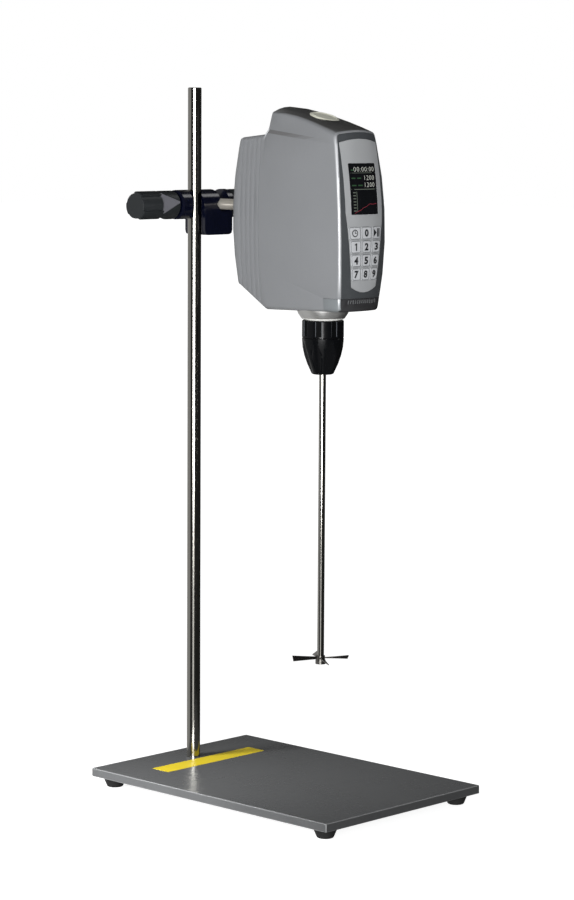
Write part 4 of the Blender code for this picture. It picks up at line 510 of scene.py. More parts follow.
class Palette:
    """The finishes of this stirrer."""

    PLATE = Metal("brushed_plate_steel", "stainless_steel", srgb(104, 105, 106), 0.28,
                  Grain.ALONG_X, 0.0006, 0.000004, 0.07, 0.45)
    PLATE_EDGE = Metal("milled_plate_edge", "stainless_steel", srgb(86, 87, 88), 0.40, Grain.CAST,
                       0.0009, 0.00004, 0.30, 0.45)
    # Painted highlight: the plate's rounded edges are painted brighter.
    PLATE_RIM = Metal("painted_highlight_plate_edge", "stainless_steel", srgb(138, 139, 140), 0.38,
                      Grain.ALONG_X, 0.0009, 0.000004, 0.12, 0.55)
    POST = Metal("ground_post_steel", "stainless_steel", srgb(156, 154, 148), 0.13, Grain.ROUND_Z,
                 0.0012, 0.0000012, 0.06)
    SHAFT = Metal("polished_shaft_steel", "polished_steel", srgb(164, 162, 156), 0.10,
                  Grain.ROUND_Z, 0.0010, 0.0000012, 0.08)
    ROD = Metal("chromed_rod_steel", "polished_steel", srgb(230, 224, 212), 0.12, Grain.ROUND_Y,
                0.0010, 0.000002, 0.05, 0.60)
    BLADE = Metal("pressed_blade_steel", "polished_steel", srgb(120, 118, 114), 0.30,
                  Grain.ALONG_Y, 0.0012, 0.00001, 0.12)
    SCREW = Metal("zinc_plated_screw", "zinc_screw", srgb(150, 149, 145), 0.35, Grain.CAST,
                  0.0015, 0.00001, 0.12)
    GEAR = Metal("hobbed_gear_steel", "gear_steel", srgb(150, 150, 152), 0.34, Grain.ROUND_Z)
    JAW = Metal("hard_jaw_steel", "polished_steel", srgb(205, 203, 198), 0.22, Grain.ALONG_Z)
    CASTING = Metal("cast_frame_aluminium", "cast_aluminium", srgb(176, 176, 178), 0.46,
                    Grain.CAST, 0.0022, 0.00005, 0.10)
    NECK = Metal("turned_neck_aluminium", "satin_aluminium", srgb(210, 210, 208), 0.40,
                 Grain.ROUND_Z, 0.0006, 0.00001, 0.10)
    RING = Film("white_nylon_ring", "satin_aluminium", srgb(248, 248, 244), 0.30)
    FLANGE = Metal("turned_flange_aluminium", "satin_aluminium", srgb(165, 164, 160), 0.34,
                   Grain.ROUND_Y, 0.0006, 0.00001, 0.10)
    RUBBER = Moulded("black_foot_rubber", "black_rubber", srgb(24, 24, 24), 0.70, 0.0012,
                     0.00005, 0.2, 0.4)
    KNOB = Moulded("slate_knob_nylon", "black_plastic", srgb(34, 37, 39), 0.42, 0.0010,
                   0.00004, 0.12, 0.4)
    # Painted highlight: the knobs' slanted facets are painted paler where light would catch them.
    FACET = Moulded("painted_highlight_facet_nylon", "black_plastic", srgb(98, 98, 104), 0.40, 0.0010,
                    0.00004, 0.12, 0.4)
    CHUCK = Moulded("black_chuck_nylon", "chuck_plastic", srgb(11, 12, 14), 0.22, 0.0011,
                    0.00002, 0.2, 0.13)
    # The grooves are matt and a little darker as painted shade; their flanks are paler as a painted
    # highlight.
    RECESS = Moulded("painted_shade_matt_groove_nylon", "chuck_plastic", srgb(9, 10, 11), 0.60, 0.0011,
                     0.00003, 0.2, 0.04)
    FLANK = Moulded("painted_highlight_groove_edge", "chuck_plastic", srgb(88, 91, 96), 0.40, 0.0011,
                    0.00003, 0.2, 0.10)
    SOCKET = Moulded("black_socket_plastic", "black_plastic", srgb(28, 28, 30), 0.42)
    CAN = Moulded("black_motor_paint", "motor_shell", srgb(38, 38, 40), 0.50)
    NAVY = Enamel("navy_casting_enamel", "navy_enamel", srgb(5, 8, 26), 0.24)
    CHAMFER = Moulded("matt_navy_chamfer", "navy_enamel", srgb(8, 10, 26), 0.75, 0.0012,
                      0.00003, 0.2, 0.05)
    # The silver's crown and crease colours are painted shade, its rim colour a painted highlight.
    SILVER = Paint("silver_housing_paint", "silver_housing", srgb(139, 141, 144), 0.50,
                   crown=srgb(84, 84, 83), rim=srgb(206, 208, 211), crease=srgb(112, 112, 113))
    # Painted shade: the bezel's and the vent front's dark greys stand in for shade on the front of
    # the silver housing.
    BEZEL = Paint("painted_shade_bezel_paint", "grey_bezel", srgb(74, 77, 80), 0.50)
    VENT = Paint("painted_shade_vent_paint", "grey_bezel", srgb(54, 54, 56), 0.50)
    # The vent sides' rim colour is a painted highlight.
    VENT_SIDE = Paint("vent_side_paint", "silver_housing", srgb(134, 139, 142), 0.50,
                      rim=srgb(206, 208, 211))
    SLOT = Paint("vent_slot_paint", "grey_bezel", srgb(120, 122, 124), 0.50)
    PANEL = Film("light_panel_film", "light_panel", srgb(160, 162, 164), 0.45)
    KEY = Film("pale_key_film", "key_skin", srgb(190, 192, 195), 0.50)
    BORDER = Film("grey_border_ink", "key_skin", srgb(92, 95, 99), 0.55)
    LEGEND = Film("dark_legend_ink", "key_skin", srgb(24, 25, 29), 0.60)
    STRIP = Film("yellow_label_film", "stainless_steel", srgb(192, 171, 33), 0.45)
    CREAM = Moulded("cream_cap_plastic", "cream_plastic", srgb(228, 228, 212), 0.48)
    BOARD = Film("green_solder_mask", "board_green", srgb(40, 92, 62), 0.35)
    MAT = Moulded("grey_key_silicone", "silicone", srgb(58, 59, 62), 0.62)
    WINDOW = Glass("dark_display_glass", "display_glass", srgb(16, 17, 20), 0.12)
    DIGITS = Lit("display_digits_light", "display_glass", srgb(190, 192, 184), 0.4)
    RULE = Lit("display_rule_light", "display_glass", srgb(84, 90, 82), 0.4)
    ROWS = Lit("display_rows_light", "display_glass", srgb(38, 64, 42), 0.4)
    CURVE = Lit("display_curve_light", "display_glass", srgb(132, 44, 58), 0.4)


class Edge:
    """Widths to which the edges of pieces are rounded."""

    FILM = 0.00015
    CRISP = 0.0002
    FINE = 0.0003
    SOFT = 0.0004


class Bench:
    """Modelling steps, done with the same operators as by hand."""

    HAIR = 0.000001
    WELD = 0.00001
    FLAT_DEGREES = 0.4
    HEAD = ((0, 1), (0.62, 0.94), (0.92, 0.55), (1, 0))
    TIP_START = 0.9
    TIP_WIDTH = 0.6
    CROSS = (1.1, 0.26, 0.9)

    @staticmethod
    def pick(*things: bpy.types.Object) -> None:
        """Selects objects alone and makes the first one active.

        Args:
            things: The objects.
        """
        bpy.ops.object.select_all(action="DESELECT")
        for thing in things:
            thing.select_set(True)
        bpy.context.view_layer.objects.active = things[0]

    @classmethod
    @contextmanager
    def editing(cls, thing: bpy.types.Object) -> Iterator[None]:
        """Edit mode on one object, with all of it selected.

        Args:
            thing: The object.

        Yields:
            Nothing, while the object is in edit mode.
        """
        cls.pick(thing)
        bpy.ops.object.mode_set(mode="EDIT")
        bpy.ops.mesh.select_all(action="SELECT")
        yield
        bpy.ops.object.mode_set(mode="OBJECT")

    @staticmethod
    def settle(thing: bpy.types.Object, matrix: Matrix | None = None) -> bpy.types.Object:
        """Puts an object's place, turn and size into its mesh.

        Args:
            thing: The object.
            matrix: A further move, made afterwards.

        Returns:
            The same object, at the origin.
        """
        bpy.context.view_layer.update()
        thing.data.transform((matrix or Matrix.Identity(4)) @ thing.matrix_world)
        thing.matrix_world = Matrix.Identity(4)
        return thing

    @classmethod
    def modify(cls, thing: bpy.types.Object, kind: str, **settings: object) -> None:
        """Adds a modifier and applies it.

        Args:
            thing: The piece.
            kind: The modifier's type.
            settings: Its properties.
        """
        cls.pick(thing)
        step = thing.modifiers.new(kind.lower(), kind)
        for key, value in settings.items():
            setattr(step, key, value)
        bpy.ops.object.modifier_apply(modifier=step.name)

    @classmethod
    def smooth(cls, thing: bpy.types.Object, angle: float = 35.0, edge: float = 0.0,
               steps: int = 2) -> bpy.types.Object:
        """Rounds the sharp edges of a piece and smooths its faces.

        Args:
            thing: The piece.
            angle: Edges sharper than this many degrees count as sharp.
            edge: Width of the rounding, or 0 for none.
            steps: Faces across the rounding.

        Returns:
            The same piece.
        """
        if edge > 0:
            cls.modify(thing, "BEVEL", width=edge, segments=steps, limit_method="ANGLE",
                       angle_limit=math.radians(angle), miter_outer="MITER_ARC",
                       use_clamp_overlap=True)
        cls.pick(thing)
        bpy.ops.object.shade_smooth_by_angle(angle=math.radians(angle))
        if angle < 45:
            cls.modify(thing, "WEIGHTED_NORMAL", keep_sharp=True, weight=50)
        return thing

    @classmethod
    def refined(cls, node: str, edge: float = Edge.FINE, angle: float = 35.0,
                steps: int = 2) -> bpy.types.Object:
        """A smooth copy of a solid, with its flat faces made whole and its edges rounded.

        Args:
            node: The solid's name.
            edge: Width of the rounding.
            angle: Edges sharper than this many degrees are rounded.
            steps: Faces across the rounding.

        Returns:
            The new piece.
        """
        mesh = frame["nodes"][node].data.copy()
        made = bpy.data.objects.new(f"fine_{node}", mesh)
        bpy.context.scene.collection.objects.link(made)
        with cls.editing(made):
            bpy.ops.mesh.remove_doubles(threshold=cls.WELD)
            bpy.ops.mesh.customdata_custom_splitnormals_clear()
            bpy.ops.mesh.dissolve_limited(angle_limit=math.radians(cls.FLAT_DEGREES))
        mesh.materials.clear()
        return cls.smooth(made, angle, edge, steps)

    @staticmethod
    def painted(made: bpy.types.Object, finishes: Iterable[Finish],
                choose: Callable[[bpy.types.MeshPolygon], int]) -> bpy.types.Object:
        """Gives the faces of a piece different finishes.

        Args:
            made: The piece.
            finishes: Its finishes.
            choose: Gives the number of a face's finish.

        Returns:
            The same piece.
        """
        for finish in finishes:
            made.data.materials.append(finish.material())
        for face in made.data.polygons:
            face.material_index = choose(face)
        return made

    @classmethod
    def turned(cls, name: str, profile: Profile, matrix: Matrix, segments: int = 64,
               edge: float = 0.0, angle: float = 35.0) -> bpy.types.Object:
        """Turns a profile about Z: a circle is extruded and sized from point to point.

        Args:
            name: Name of the piece.
            profile: Points as (radius, height). A ring's profile ends where it starts.
            matrix: Where the turned piece goes.
            segments: Faces round the piece.
            edge: Rounding of its sharp edges.
            angle: Edges sharper than this many degrees count as sharp.

        Returns:
            The new piece.
        """
        points = [(max(radius, cls.HAIR), height) for radius, height in profile]
        bpy.ops.object.select_all(action="DESELECT")
        bpy.ops.mesh.primitive_circle_add(vertices=segments, radius=points[0][0],
                                          location=(0, 0, points[0][1]))
        made = bpy.context.active_object
        made.name = name
        with cls.editing(made):
            for (radius, height), (wider, higher) in zip(points, points[1:]):
                bpy.ops.mesh.extrude_edges_move(
                    TRANSFORM_OT_translate={"value": (0, 0, higher - height)})
                bpy.ops.transform.resize(value=(wider / radius, wider / radius, 1),
                                         center_override=(0, 0, higher))
            bpy.ops.mesh.select_all(action="SELECT")
            bpy.ops.mesh.remove_doubles(threshold=cls.WELD)
            bpy.ops.mesh.normals_make_consistent(inside=False)
        cls.settle(made, matrix)
        return cls.smooth(made, angle, edge)

    @classmethod
    def screw(cls, name: str, radius: float, height: float, shank: float, length: float,
              matrix: Matrix) -> bpy.types.Object:
        """A round headed screw with a cross recess, pointing down its own Z.

        Args:
            name: Name of the piece.
            radius: Radius of the head.
            height: Height of the head.
            shank: Radius of the shank.
            length: Length of the shank.
            matrix: Where the underside of the head goes.

        Returns:
            The screw.
        """
        head = [(radius * across, height * up) for across, up in cls.HEAD]
        tip = [(shank, 0), (shank, -length * cls.TIP_START), (shank * cls.TIP_WIDTH, -length),
               (0, -length)]
        made = cls.turned(name, head + tip, Matrix.Identity(4), 32)
        reach, width, depth = cls.CROSS
        for turn in (0, 90):
            bpy.ops.object.select_all(action="DESELECT")
            bpy.ops.mesh.primitive_cube_add(size=1, location=(0, 0, height),
                                            scale=(radius * reach, radius * width, height * depth))
            slot = bpy.context.active_object
            cls.settle(slot, Matrix.Rotation(math.radians(turn), 4, "Z"))
            cls.modify(made, "BOOLEAN", operation="DIFFERENCE", object=slot, solver="EXACT")
            bpy.data.objects.remove(slot, do_unlink=True)
        made.data.transform(matrix)
        return made

    @classmethod
    def sheet(cls, name: str, width: float, depth: float, thickness: float, corner: float,
              matrix: Matrix) -> bpy.types.Object:
        """A thin flat sheet with rounded corners, standing on its own XY plane.

        Args:
            name: Name of the piece.
            width: Size along X.
            depth: Size along Y.
            thickness: Thickness.
            corner: Radius of the corners.
            matrix: Where its underside goes.

        Returns:
            The sheet.
        """
        bpy.ops.object.select_all(action="DESELECT")
        bpy.ops.mesh.primitive_plane_add(size=1, scale=(width, depth, 1))
        made = bpy.context.active_object
        made.name = name
        cls.settle(made)
        made.data.transform(Matrix.Diagonal((width, depth, 1, 1)))
        with cls.editing(made):
            bpy.ops.mesh.bevel(offset=corner, segments=4, affect="VERTICES")
        cls.modify(made, "SOLIDIFY", thickness=thickness, offset=1)
        made.data.transform(matrix)
        return made


def facing(direction: Vector, place: Vector) -> Matrix:
    """Where a piece made along Z goes to point in a direction.

    Args:
        direction: Direction of the piece's own Z.
        place: Place of its origin.

    Returns:
        The move.
    """
    turn = direction.to_track_quat("Z", "Y").to_matrix().to_4x4()
    return Matrix.Translation(place) @ turn


def extent(node: str) -> tuple[Vector, Vector, Vector]:
    """The lowest corner, highest corner and middle of a solid's box."""
    low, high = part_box(node)
    return low, high, (low + high) / 2


def middle(node: str) -> Vector:
    """The middle of a solid's box."""
    return extent(node)[2]


@dataclass
class Assembly:
    """A sub-assembly of the stirrer, which dresses its own pieces."""

    body: str

    def add(self, thing: bpy.types.Object, finish: Finish, body: str | None = None,
            stands_for: Iterable[str] = ()) -> bpy.types.Object:
        """Gives a new piece its finish and ties it to a moving body.

        Args:
            thing: The new piece.
            finish: Its finish.
            body: The body it moves with, where that isn't the assembly's own.
            stands_for: Solids that it takes the place of.

        Returns:
            The same piece.
        """
        if not thing.data.materials:
            thing.data.materials.append(finish.material())
        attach(thing, body or self.body)
        if stands_for:
            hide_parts(*stands_for)
        LOG.info("%s: %s in %s", type(self).__name__, thing.name, finish.name)
        return thing

    def refine(self, node: str, finish: Finish, body: str | None = None, edge: float = Edge.FINE,
               angle: float = 35.0) -> bpy.types.Object:
        """Replaces a solid by its smooth copy.

        Args:
            node: The solid.
            finish: The copy's finish.
            body: The body it moves with, where that isn't the assembly's own.
            edge: Width of the rounding of its edges.
            angle: Edges sharper than this many degrees are rounded.

        Returns:
            The copy.
        """
        return self.add(Bench.refined(node, edge, angle), finish, body, (node,))

    def round_bar(self, node: str, name: str, finish: Finish, body: str,
                  edges: tuple[float, float], segments: int = 64) -> None:
        """Replaces a straight round solid by a smooth bar with chamfered ends.

        Args:
            node: The solid.
            name: Name of the bar.
            finish: Its finish.
            body: The body it moves with.
            edges: Chamfer of its lower and of its higher end, or 0 for none.
            segments: Faces round the bar.
        """
        low, high, start = extent(node)
        size = high - low
        along = max(range(3), key=lambda index: size[index])
        radius, length = min(size) / 2, size[along]
        start[along] = low[along]
        first, last = edges
        profile = [(0, 0), (radius - first, 0), (radius, first)][:3 if first else 2]
        profile += [(radius, length - last), (radius - last, length), (0, length)]
        aim = Vector(int(index == along) for index in range(3))
        self.add(Bench.turned(name, profile, facing(aim, start), segments), finish, body, (node,))

    def keep(self, node: str, finish: Finish) -> None:
        """Keeps a solid as it is and gives it a finish.

        Args:
            node: The solid.
            finish: Its finish.
        """
        solid = frame["nodes"][node]
        if not solid.material_slots:
            solid.data.materials.append(None)
        for slot in solid.material_slots:
            slot.material = finish.material()
        LOG.info("%s: %s kept in %s", type(self).__name__, node, finish.name)

    def build(self) -> None:
        """Makes and dresses every piece of the assembly."""
        raise NotImplementedError


@dataclass
class Stand(Assembly):
    """Plate, label strip, feet with their screws, and post."""

    body: str = "stand"
    strip_width: float = 0.162
    strip_depth: float = 0.027
    strip_place: tuple[float, float] = (0.0, 0.124)
    strip_thickness: float = 0.00015
    strip_corner: float = 0.0012
    foot_edge: float = 0.0012
    foot_taper: float = 0.72
    foot_bend: float = 0.3
    screw_head: tuple[float, float] = (0.0042, 0.0022)
    screw_shank: tuple[float, float] = (0.0019, 0.0110)
    socket_depth: float = 0.0060
    socket_radius: float = 0.0050
    post_edge: float = 0.0009
    plate_rounding: float = 0.0009
    flat_slope: float = 0.97
    side_slope: float = 0.1

    def build(self) -> None:
        """Makes the plate, its strip, the feet and the post."""
        self.plate()
        self.strip()
        for corner in ("front_left", "front_right", "rear_left", "rear_right"):
            self.foot(corner)
        self.keep("post_screw", Palette.SCREW)
        self.round_bar("support_post", "ground_post", Palette.POST, "column",
                       (0, self.post_edge), 96)

    def plate(self) -> None:
        """The steel plate, ground on its faces, coarser on its milled sides, with a painted
        highlight on its rounded edges.
        """
        def choose(face: bpy.types.MeshPolygon) -> int:
            """The painted highlight on slanted faces, the edge's finish on sides, else the plate's
            own.

            Args:
                face: A face of the piece.

            Returns:
                The number of its finish.
            """
            if max(abs(part) for part in face.normal) < self.flat_slope:
                return 2
            return 1 if abs(face.normal.z) < self.side_slope else 0

        made = Bench.painted(Bench.refined("base_plate", self.plate_rounding),
                             (Palette.PLATE, Palette.PLATE_EDGE, Palette.PLATE_RIM), choose)
        self.add(made, Palette.PLATE, stands_for=("base_plate",))

    def strip(self) -> None:
        """The plain yellow strip across the plate, at the post."""
        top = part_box("base_plate")[1].z
        across, along = self.strip_place
        made = Bench.sheet("label_strip", self.strip_width, self.strip_depth,
                           self.strip_thickness, self.strip_corner,
                           Matrix.Translation((across, along, top)))
        self.add(made, Palette.STRIP)

    def foot(self, corner: str) -> None:
        """One rubber foot with its screw.

        Args:
            corner: The foot's corner of the plate.
        """
        node = f"foot_{corner}"
        _, high, place = extent(node)
        wide = high.x - place.x
        base, height, edge = wide * self.foot_taper, high.z, self.foot_edge
        bend, bore = edge * self.foot_bend, self.screw_shank[0]
        profile = [
            (bore, height), (wide - edge, height), (wide, height - edge),
            (wide, height - 2 * edge), (base + bend, edge), (base - bend, bend),
            (base - edge, 0), (self.socket_radius, 0), (self.socket_radius, self.socket_depth),
            (bore, self.socket_depth), (bore, height),
        ]
        ground = Matrix.Translation((place.x, place.y, 0))
        self.add(Bench.turned(f"rubber_{node}", profile, ground, 48, Edge.FINE), Palette.RUBBER,
                 stands_for=(node,))
        seat = Vector((place.x, place.y, self.socket_depth))
        screw = Bench.screw(f"foot_screw_{corner}", *self.screw_head, *self.screw_shank,
                            facing(Vector((0, 0, -1)), seat))
        self.add(screw, Palette.SCREW)


@dataclass
class CrossClamp(Assembly):
    """The clamp's casting, its two knobs and their threaded screws, and the rod."""

    body: str = "clamp"
    thread_pitch: float = 0.00125
    thread_depth: float = 0.0005
    thread_radius: float = 0.0040
    thread_core: float = 0.9
    thread_end: float = 0.05
    casting_edge: float = 0.0007
    chamfer_slopes: tuple[float, float] = (0.5, 0.85)
    knob_edge: float = 0.0005
    facet_slopes: tuple[float, float] = (0.12, 0.30)
    facet_area: float = 0.000008
    rod_edge: float = 0.0006

    def build(self) -> None:
        """Makes the casting, the knobs with their screws, and the rod."""
        self.casting()
        for side, outward in (("post", -1), ("rod", 1)):
            self.knob(f"{side}_knob", f"{side}_clamp", outward)
            self.threaded(f"{side}_clamp_screw", f"{side}_clamp", outward)
        self.round_bar("support_rod", "chromed_rod", Palette.ROD, "rod", (0, self.rod_edge))

    def casting(self) -> None:
        """The enamelled casting, whose chamfers between side and front are matt."""
        low, high = self.chamfer_slopes
        made = Bench.painted(Bench.refined("clamp_body", self.casting_edge),
                             (Palette.NAVY, Palette.CHAMFER),
                             lambda face: int(low < abs(face.normal.x) < high))
        self.add(made, Palette.NAVY, stands_for=("clamp_body",))

    def knob(self, node: str, body: str, outward: int) -> None:
        """A clamping knob, whose slanted facets are painted paler than the rest as a painted
        highlight.

        Args:
            node: The knob's solid.
            body: The knob's body.
            outward: 1 where its end faces +X, -1 where it faces -X.
        """
        # Painted highlight on the knob's larger slanted facets.
        low, high = self.facet_slopes
        made = Bench.painted(Bench.refined(node, self.knob_edge), (Palette.KNOB, Palette.FACET),
                             lambda face: int(low < face.normal.x * outward < high
                                              and face.area > self.facet_area))
        self.add(made, Palette.KNOB, body, (node,))

    def threaded(self, node: str, body: str, outward: int) -> None:
        """A clamping screw with its thread and pressing end.

        Args:
            node: The plain screw that it takes the place of.
            body: The knob's body.
            outward: 1 where the knob is on +X, or -1.
        """
        low, high, place = extent(node)
        length = high.x - low.x
        wide, pitch = self.thread_radius, self.thread_pitch
        core, level = wide * self.thread_core, length * self.thread_end
        profile = [(0, 0), (core, 0), (core, level)]
        while level + pitch < length * (1 - self.thread_end):
            profile += [(wide, level + pitch / 2), (wide - self.thread_depth, level + pitch)]
            level += pitch
        profile += [(core, length), (0, length)]
        start = Vector((low.x if outward > 0 else high.x, place.y, place.z))
        made = Bench.turned(f"thread_{node}", profile, facing(Vector((outward, 0, 0)), start), 32,
                            angle=60)
        self.add(made, Palette.SCREW, body, (node,))


@dataclass
class Housing(Assembly):
    """The moulded housing of the head, parted into shell, rear cover and vent cover."""

    body: str = "head"
    cover_screws: tuple[tuple[float, float], ...] = (
        (-0.0280, -0.0710), (0.0280, -0.0710), (-0.0280, 0.0570), (0.0280, 0.0570))
    # Where painted shade darkens the crown and the crease, and where a painted highlight brightens
    # the front rims.
    crown_slopes: tuple[float, float] = (0.76, 0.92)
    crease_drop: float = 0.0320
    crease_slope: float = 0.173
    crease_reach: float = 0.0050
    crease_tilts: tuple[float, float] = (0.20, 0.80)
    crease_fade: float = 0.35
    rim_slopes: tuple[float, float] = (0.95, 0.99)
    mould_edge: float = Edge.SOFT
    mould_angle: float = 50
    vent_edge: float = Edge.CRISP
    vent_reach: float = 0.030
    vent_front: float = 0.0095
    vent_flank: float = 0.6
    cap_shape: Profile = (
        (0, 0.0007), (0.55, 0.0010), (0.72, 0.0011), (0.76, 0.0003), (0.86, 0.0005),
        (0.97, 0.0018), (1, 0.0024), (1, 0.0030), (0.80, 0.0030))
    screw_head: tuple[float, float] = (0.0028, 0.0014)
    probe_start: float = 0.05
    screw_shank: tuple[float, float] = (0.0013, 0.0080)
    flange_screws: int = 3
    flange_circle: float = 0.0135
    flange_head: tuple[float, float] = (0.0030, 0.0018)
    flange_shank: tuple[float, float] = (0.0018, 0.0040)

    def build(self) -> None:
        """Makes the mouldings and their screws, the cap and the rod's flange."""
        self.shell()
        self.refine("rear_cover", Palette.SILVER, edge=self.mould_edge, angle=self.mould_angle)
        self.vent_cover()
        self.rear_screws()
        self.cap()
        self.flange()

    def marked(self, made: bpy.types.Object) -> bpy.types.Object:
        """Marks the painted shade of the crown and the painted highlight of the front rims by
        vertex, and the painted shade of the crease by face.

        Args:
            made: The moulding.

        Returns:
            The same moulding.
        """
        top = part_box("housing_shell")[1].z
        crown = made.data.attributes.new("crown", "FLOAT", "POINT")
        rim = made.data.attributes.new("rim", "FLOAT", "POINT")
        for point in made.data.vertices:
            corner = (abs(point.normal.x) - point.normal.y) * math.sqrt(0.5)
            for mark, slope, (start, end) in ((crown, point.normal.z, self.crown_slopes),
                                              (rim, corner, self.rim_slopes)):
                mark.data[point.index].value = min(1.0, max(0.0, (slope - start) / (end - start)))
        # Painted shade along the crease under the hump.
        crease = made.data.attributes.new("crease", "FLOAT", "FACE")
        low, high = self.crease_tilts
        for face in made.data.polygons:
            line = top - self.crease_drop + face.center.y * self.crease_slope
            near = abs(face.center.z - line) < self.crease_reach and low < face.normal.z < high
            depth = (face.normal.z - low) / self.crease_fade
            crease.data[face.index].value = near * min(1.0, depth)
        return made

    def shell(self) -> None:
        """The shell, silver, with painted shade darkening its crown and crease and a painted
        highlight on its front rims.
        """
        made = self.marked(Bench.refined("housing_shell", self.mould_edge, self.mould_angle))
        self.add(made, Palette.SILVER, stands_for=("housing_shell",))

    def vent_cover(self) -> None:
        """The slotted cover under the bezel, whose sides are silver with a painted highlight on
        their front rims, and whose front is a darker grey of painted shade.
        """
        made = self.marked(Bench.refined("vent_cover", self.vent_edge, self.mould_angle))
        centre = middle("vent_cover").x
        front = min(point.co.y for point in made.data.vertices) + self.vent_front

        def choose(face: bpy.types.MeshPolygon) -> int:
            """The sides' finish, else the slots' on their flanks, else the front's painted shade.

            Args:
                face: A face of the piece.

            Returns:
                The number of its finish.
            """
            flank = abs(face.normal.x) > self.vent_flank
            outer = abs(face.center.x - centre) > self.vent_reach
            if face.center.y > front or (flank and outer):
                return 0
            return 2 if flank else 1

        Bench.painted(made, (Palette.VENT_SIDE, Palette.VENT, Palette.SLOT), choose)
        self.add(made, Palette.VENT, stands_for=("vent_cover",))

    def rear_screws(self) -> None:
        """The four screws of the rear cover, seated on its face about the rod."""
        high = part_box("rear_cover")[1]
        rod = middle("support_rod")
        tree = surface_of("rear_cover")
        for index, (side, height) in enumerate(self.cover_screws):
            aim = Vector((rod.x + side, high.y + self.probe_start,
                          rod.z + height + self.screw_head[0]))
            face = tree.ray_cast(aim, Vector((0, -1, 0)))[0]
            spot = Vector((rod.x + side, face.y, rod.z + height))
            screw = Bench.screw(f"cover_screw_{index + 1}", *self.screw_head, *self.screw_shank,
                                facing(Vector((0, 1, 0)), spot))
            self.add(screw, Palette.SCREW)

    def cap(self) -> None:
        """The cream cap over the hollow spindle, with its raised rim."""
        axis = next(Vector(joint["axis"]) for joint in frame["joints"]
                    if joint["name"] == "cap_lift").normalized()
        points = [point.co for point in frame["nodes"]["shaft_hole_cap"].data.vertices]
        centre = sum(points, Vector()) / len(points)
        levels = [(point - centre).dot(axis) for point in points]
        spans = [((point - centre) - axis * level).length for point, level in zip(points, levels)]
        wide, low, high = max(spans), min(levels), max(levels)
        profile = [(wide * across, high - drop) for across, drop in self.cap_shape]
        profile += [(profile[-1][0], low), (0, low)]
        made = Bench.turned("cream_cap", profile, facing(axis, centre), 72, Edge.CRISP)
        self.add(made, Palette.CREAM, "cap", ("shaft_hole_cap",))

    def flange(self) -> None:
        """The flange that holds the rod, with its screws."""
        self.refine("rod_flange", Palette.FLANGE, edge=Edge.FINE)
        _, high, place = extent("rod_flange")
        for index in range(self.flange_screws):
            angle = math.radians(90) + 2 * math.pi * index / self.flange_screws
            spot = Vector((place.x + self.flange_circle * math.cos(angle), high.y,
                           place.z + self.flange_circle * math.sin(angle)))
            screw = Bench.screw(f"flange_screw_{index + 1}", *self.flange_head,
                                *self.flange_shank, facing(Vector((0, 1, 0)), spot))
            self.add(screw, Palette.SCREW)


def surface_of(node: str) -> BVHTree:
    """A search tree over a solid's faces, for finding its surface along a line.

    Args:
        node: The solid.

    Returns:
        The tree.
    """
    mesh = frame["nodes"][node].data
    return BVHTree.FromPolygons([point.co for point in mesh.vertices],
                                [tuple(face.vertices) for face in mesh.polygons])


class Symbol(Enum):
    """What is printed on a key."""

    CLOCK = "clock"
    START = "start"
    ONE = "one"
    DIGIT = "digit"


Loops = Sequence[Profile]
ONE: Loops = (((0, -0.5), (0.20, -0.5), (0.20, 0.5), (0, 0.5)),
              ((-0.22, 0.31), (-0.14, 0.16), (0, 0.31), (0, 0.5)))
START: Loops = (((-0.72, -0.56), (-0.072, 0), (-0.72, 0.56)),
                ((0.0144, -0.56), (0.2592, -0.56), (0.2592, 0.56), (0.0144, 0.56)),
                ((0.3456, -0.56), (0.5904, -0.56), (0.5904, 0.56), (0.3456, 0.56)))


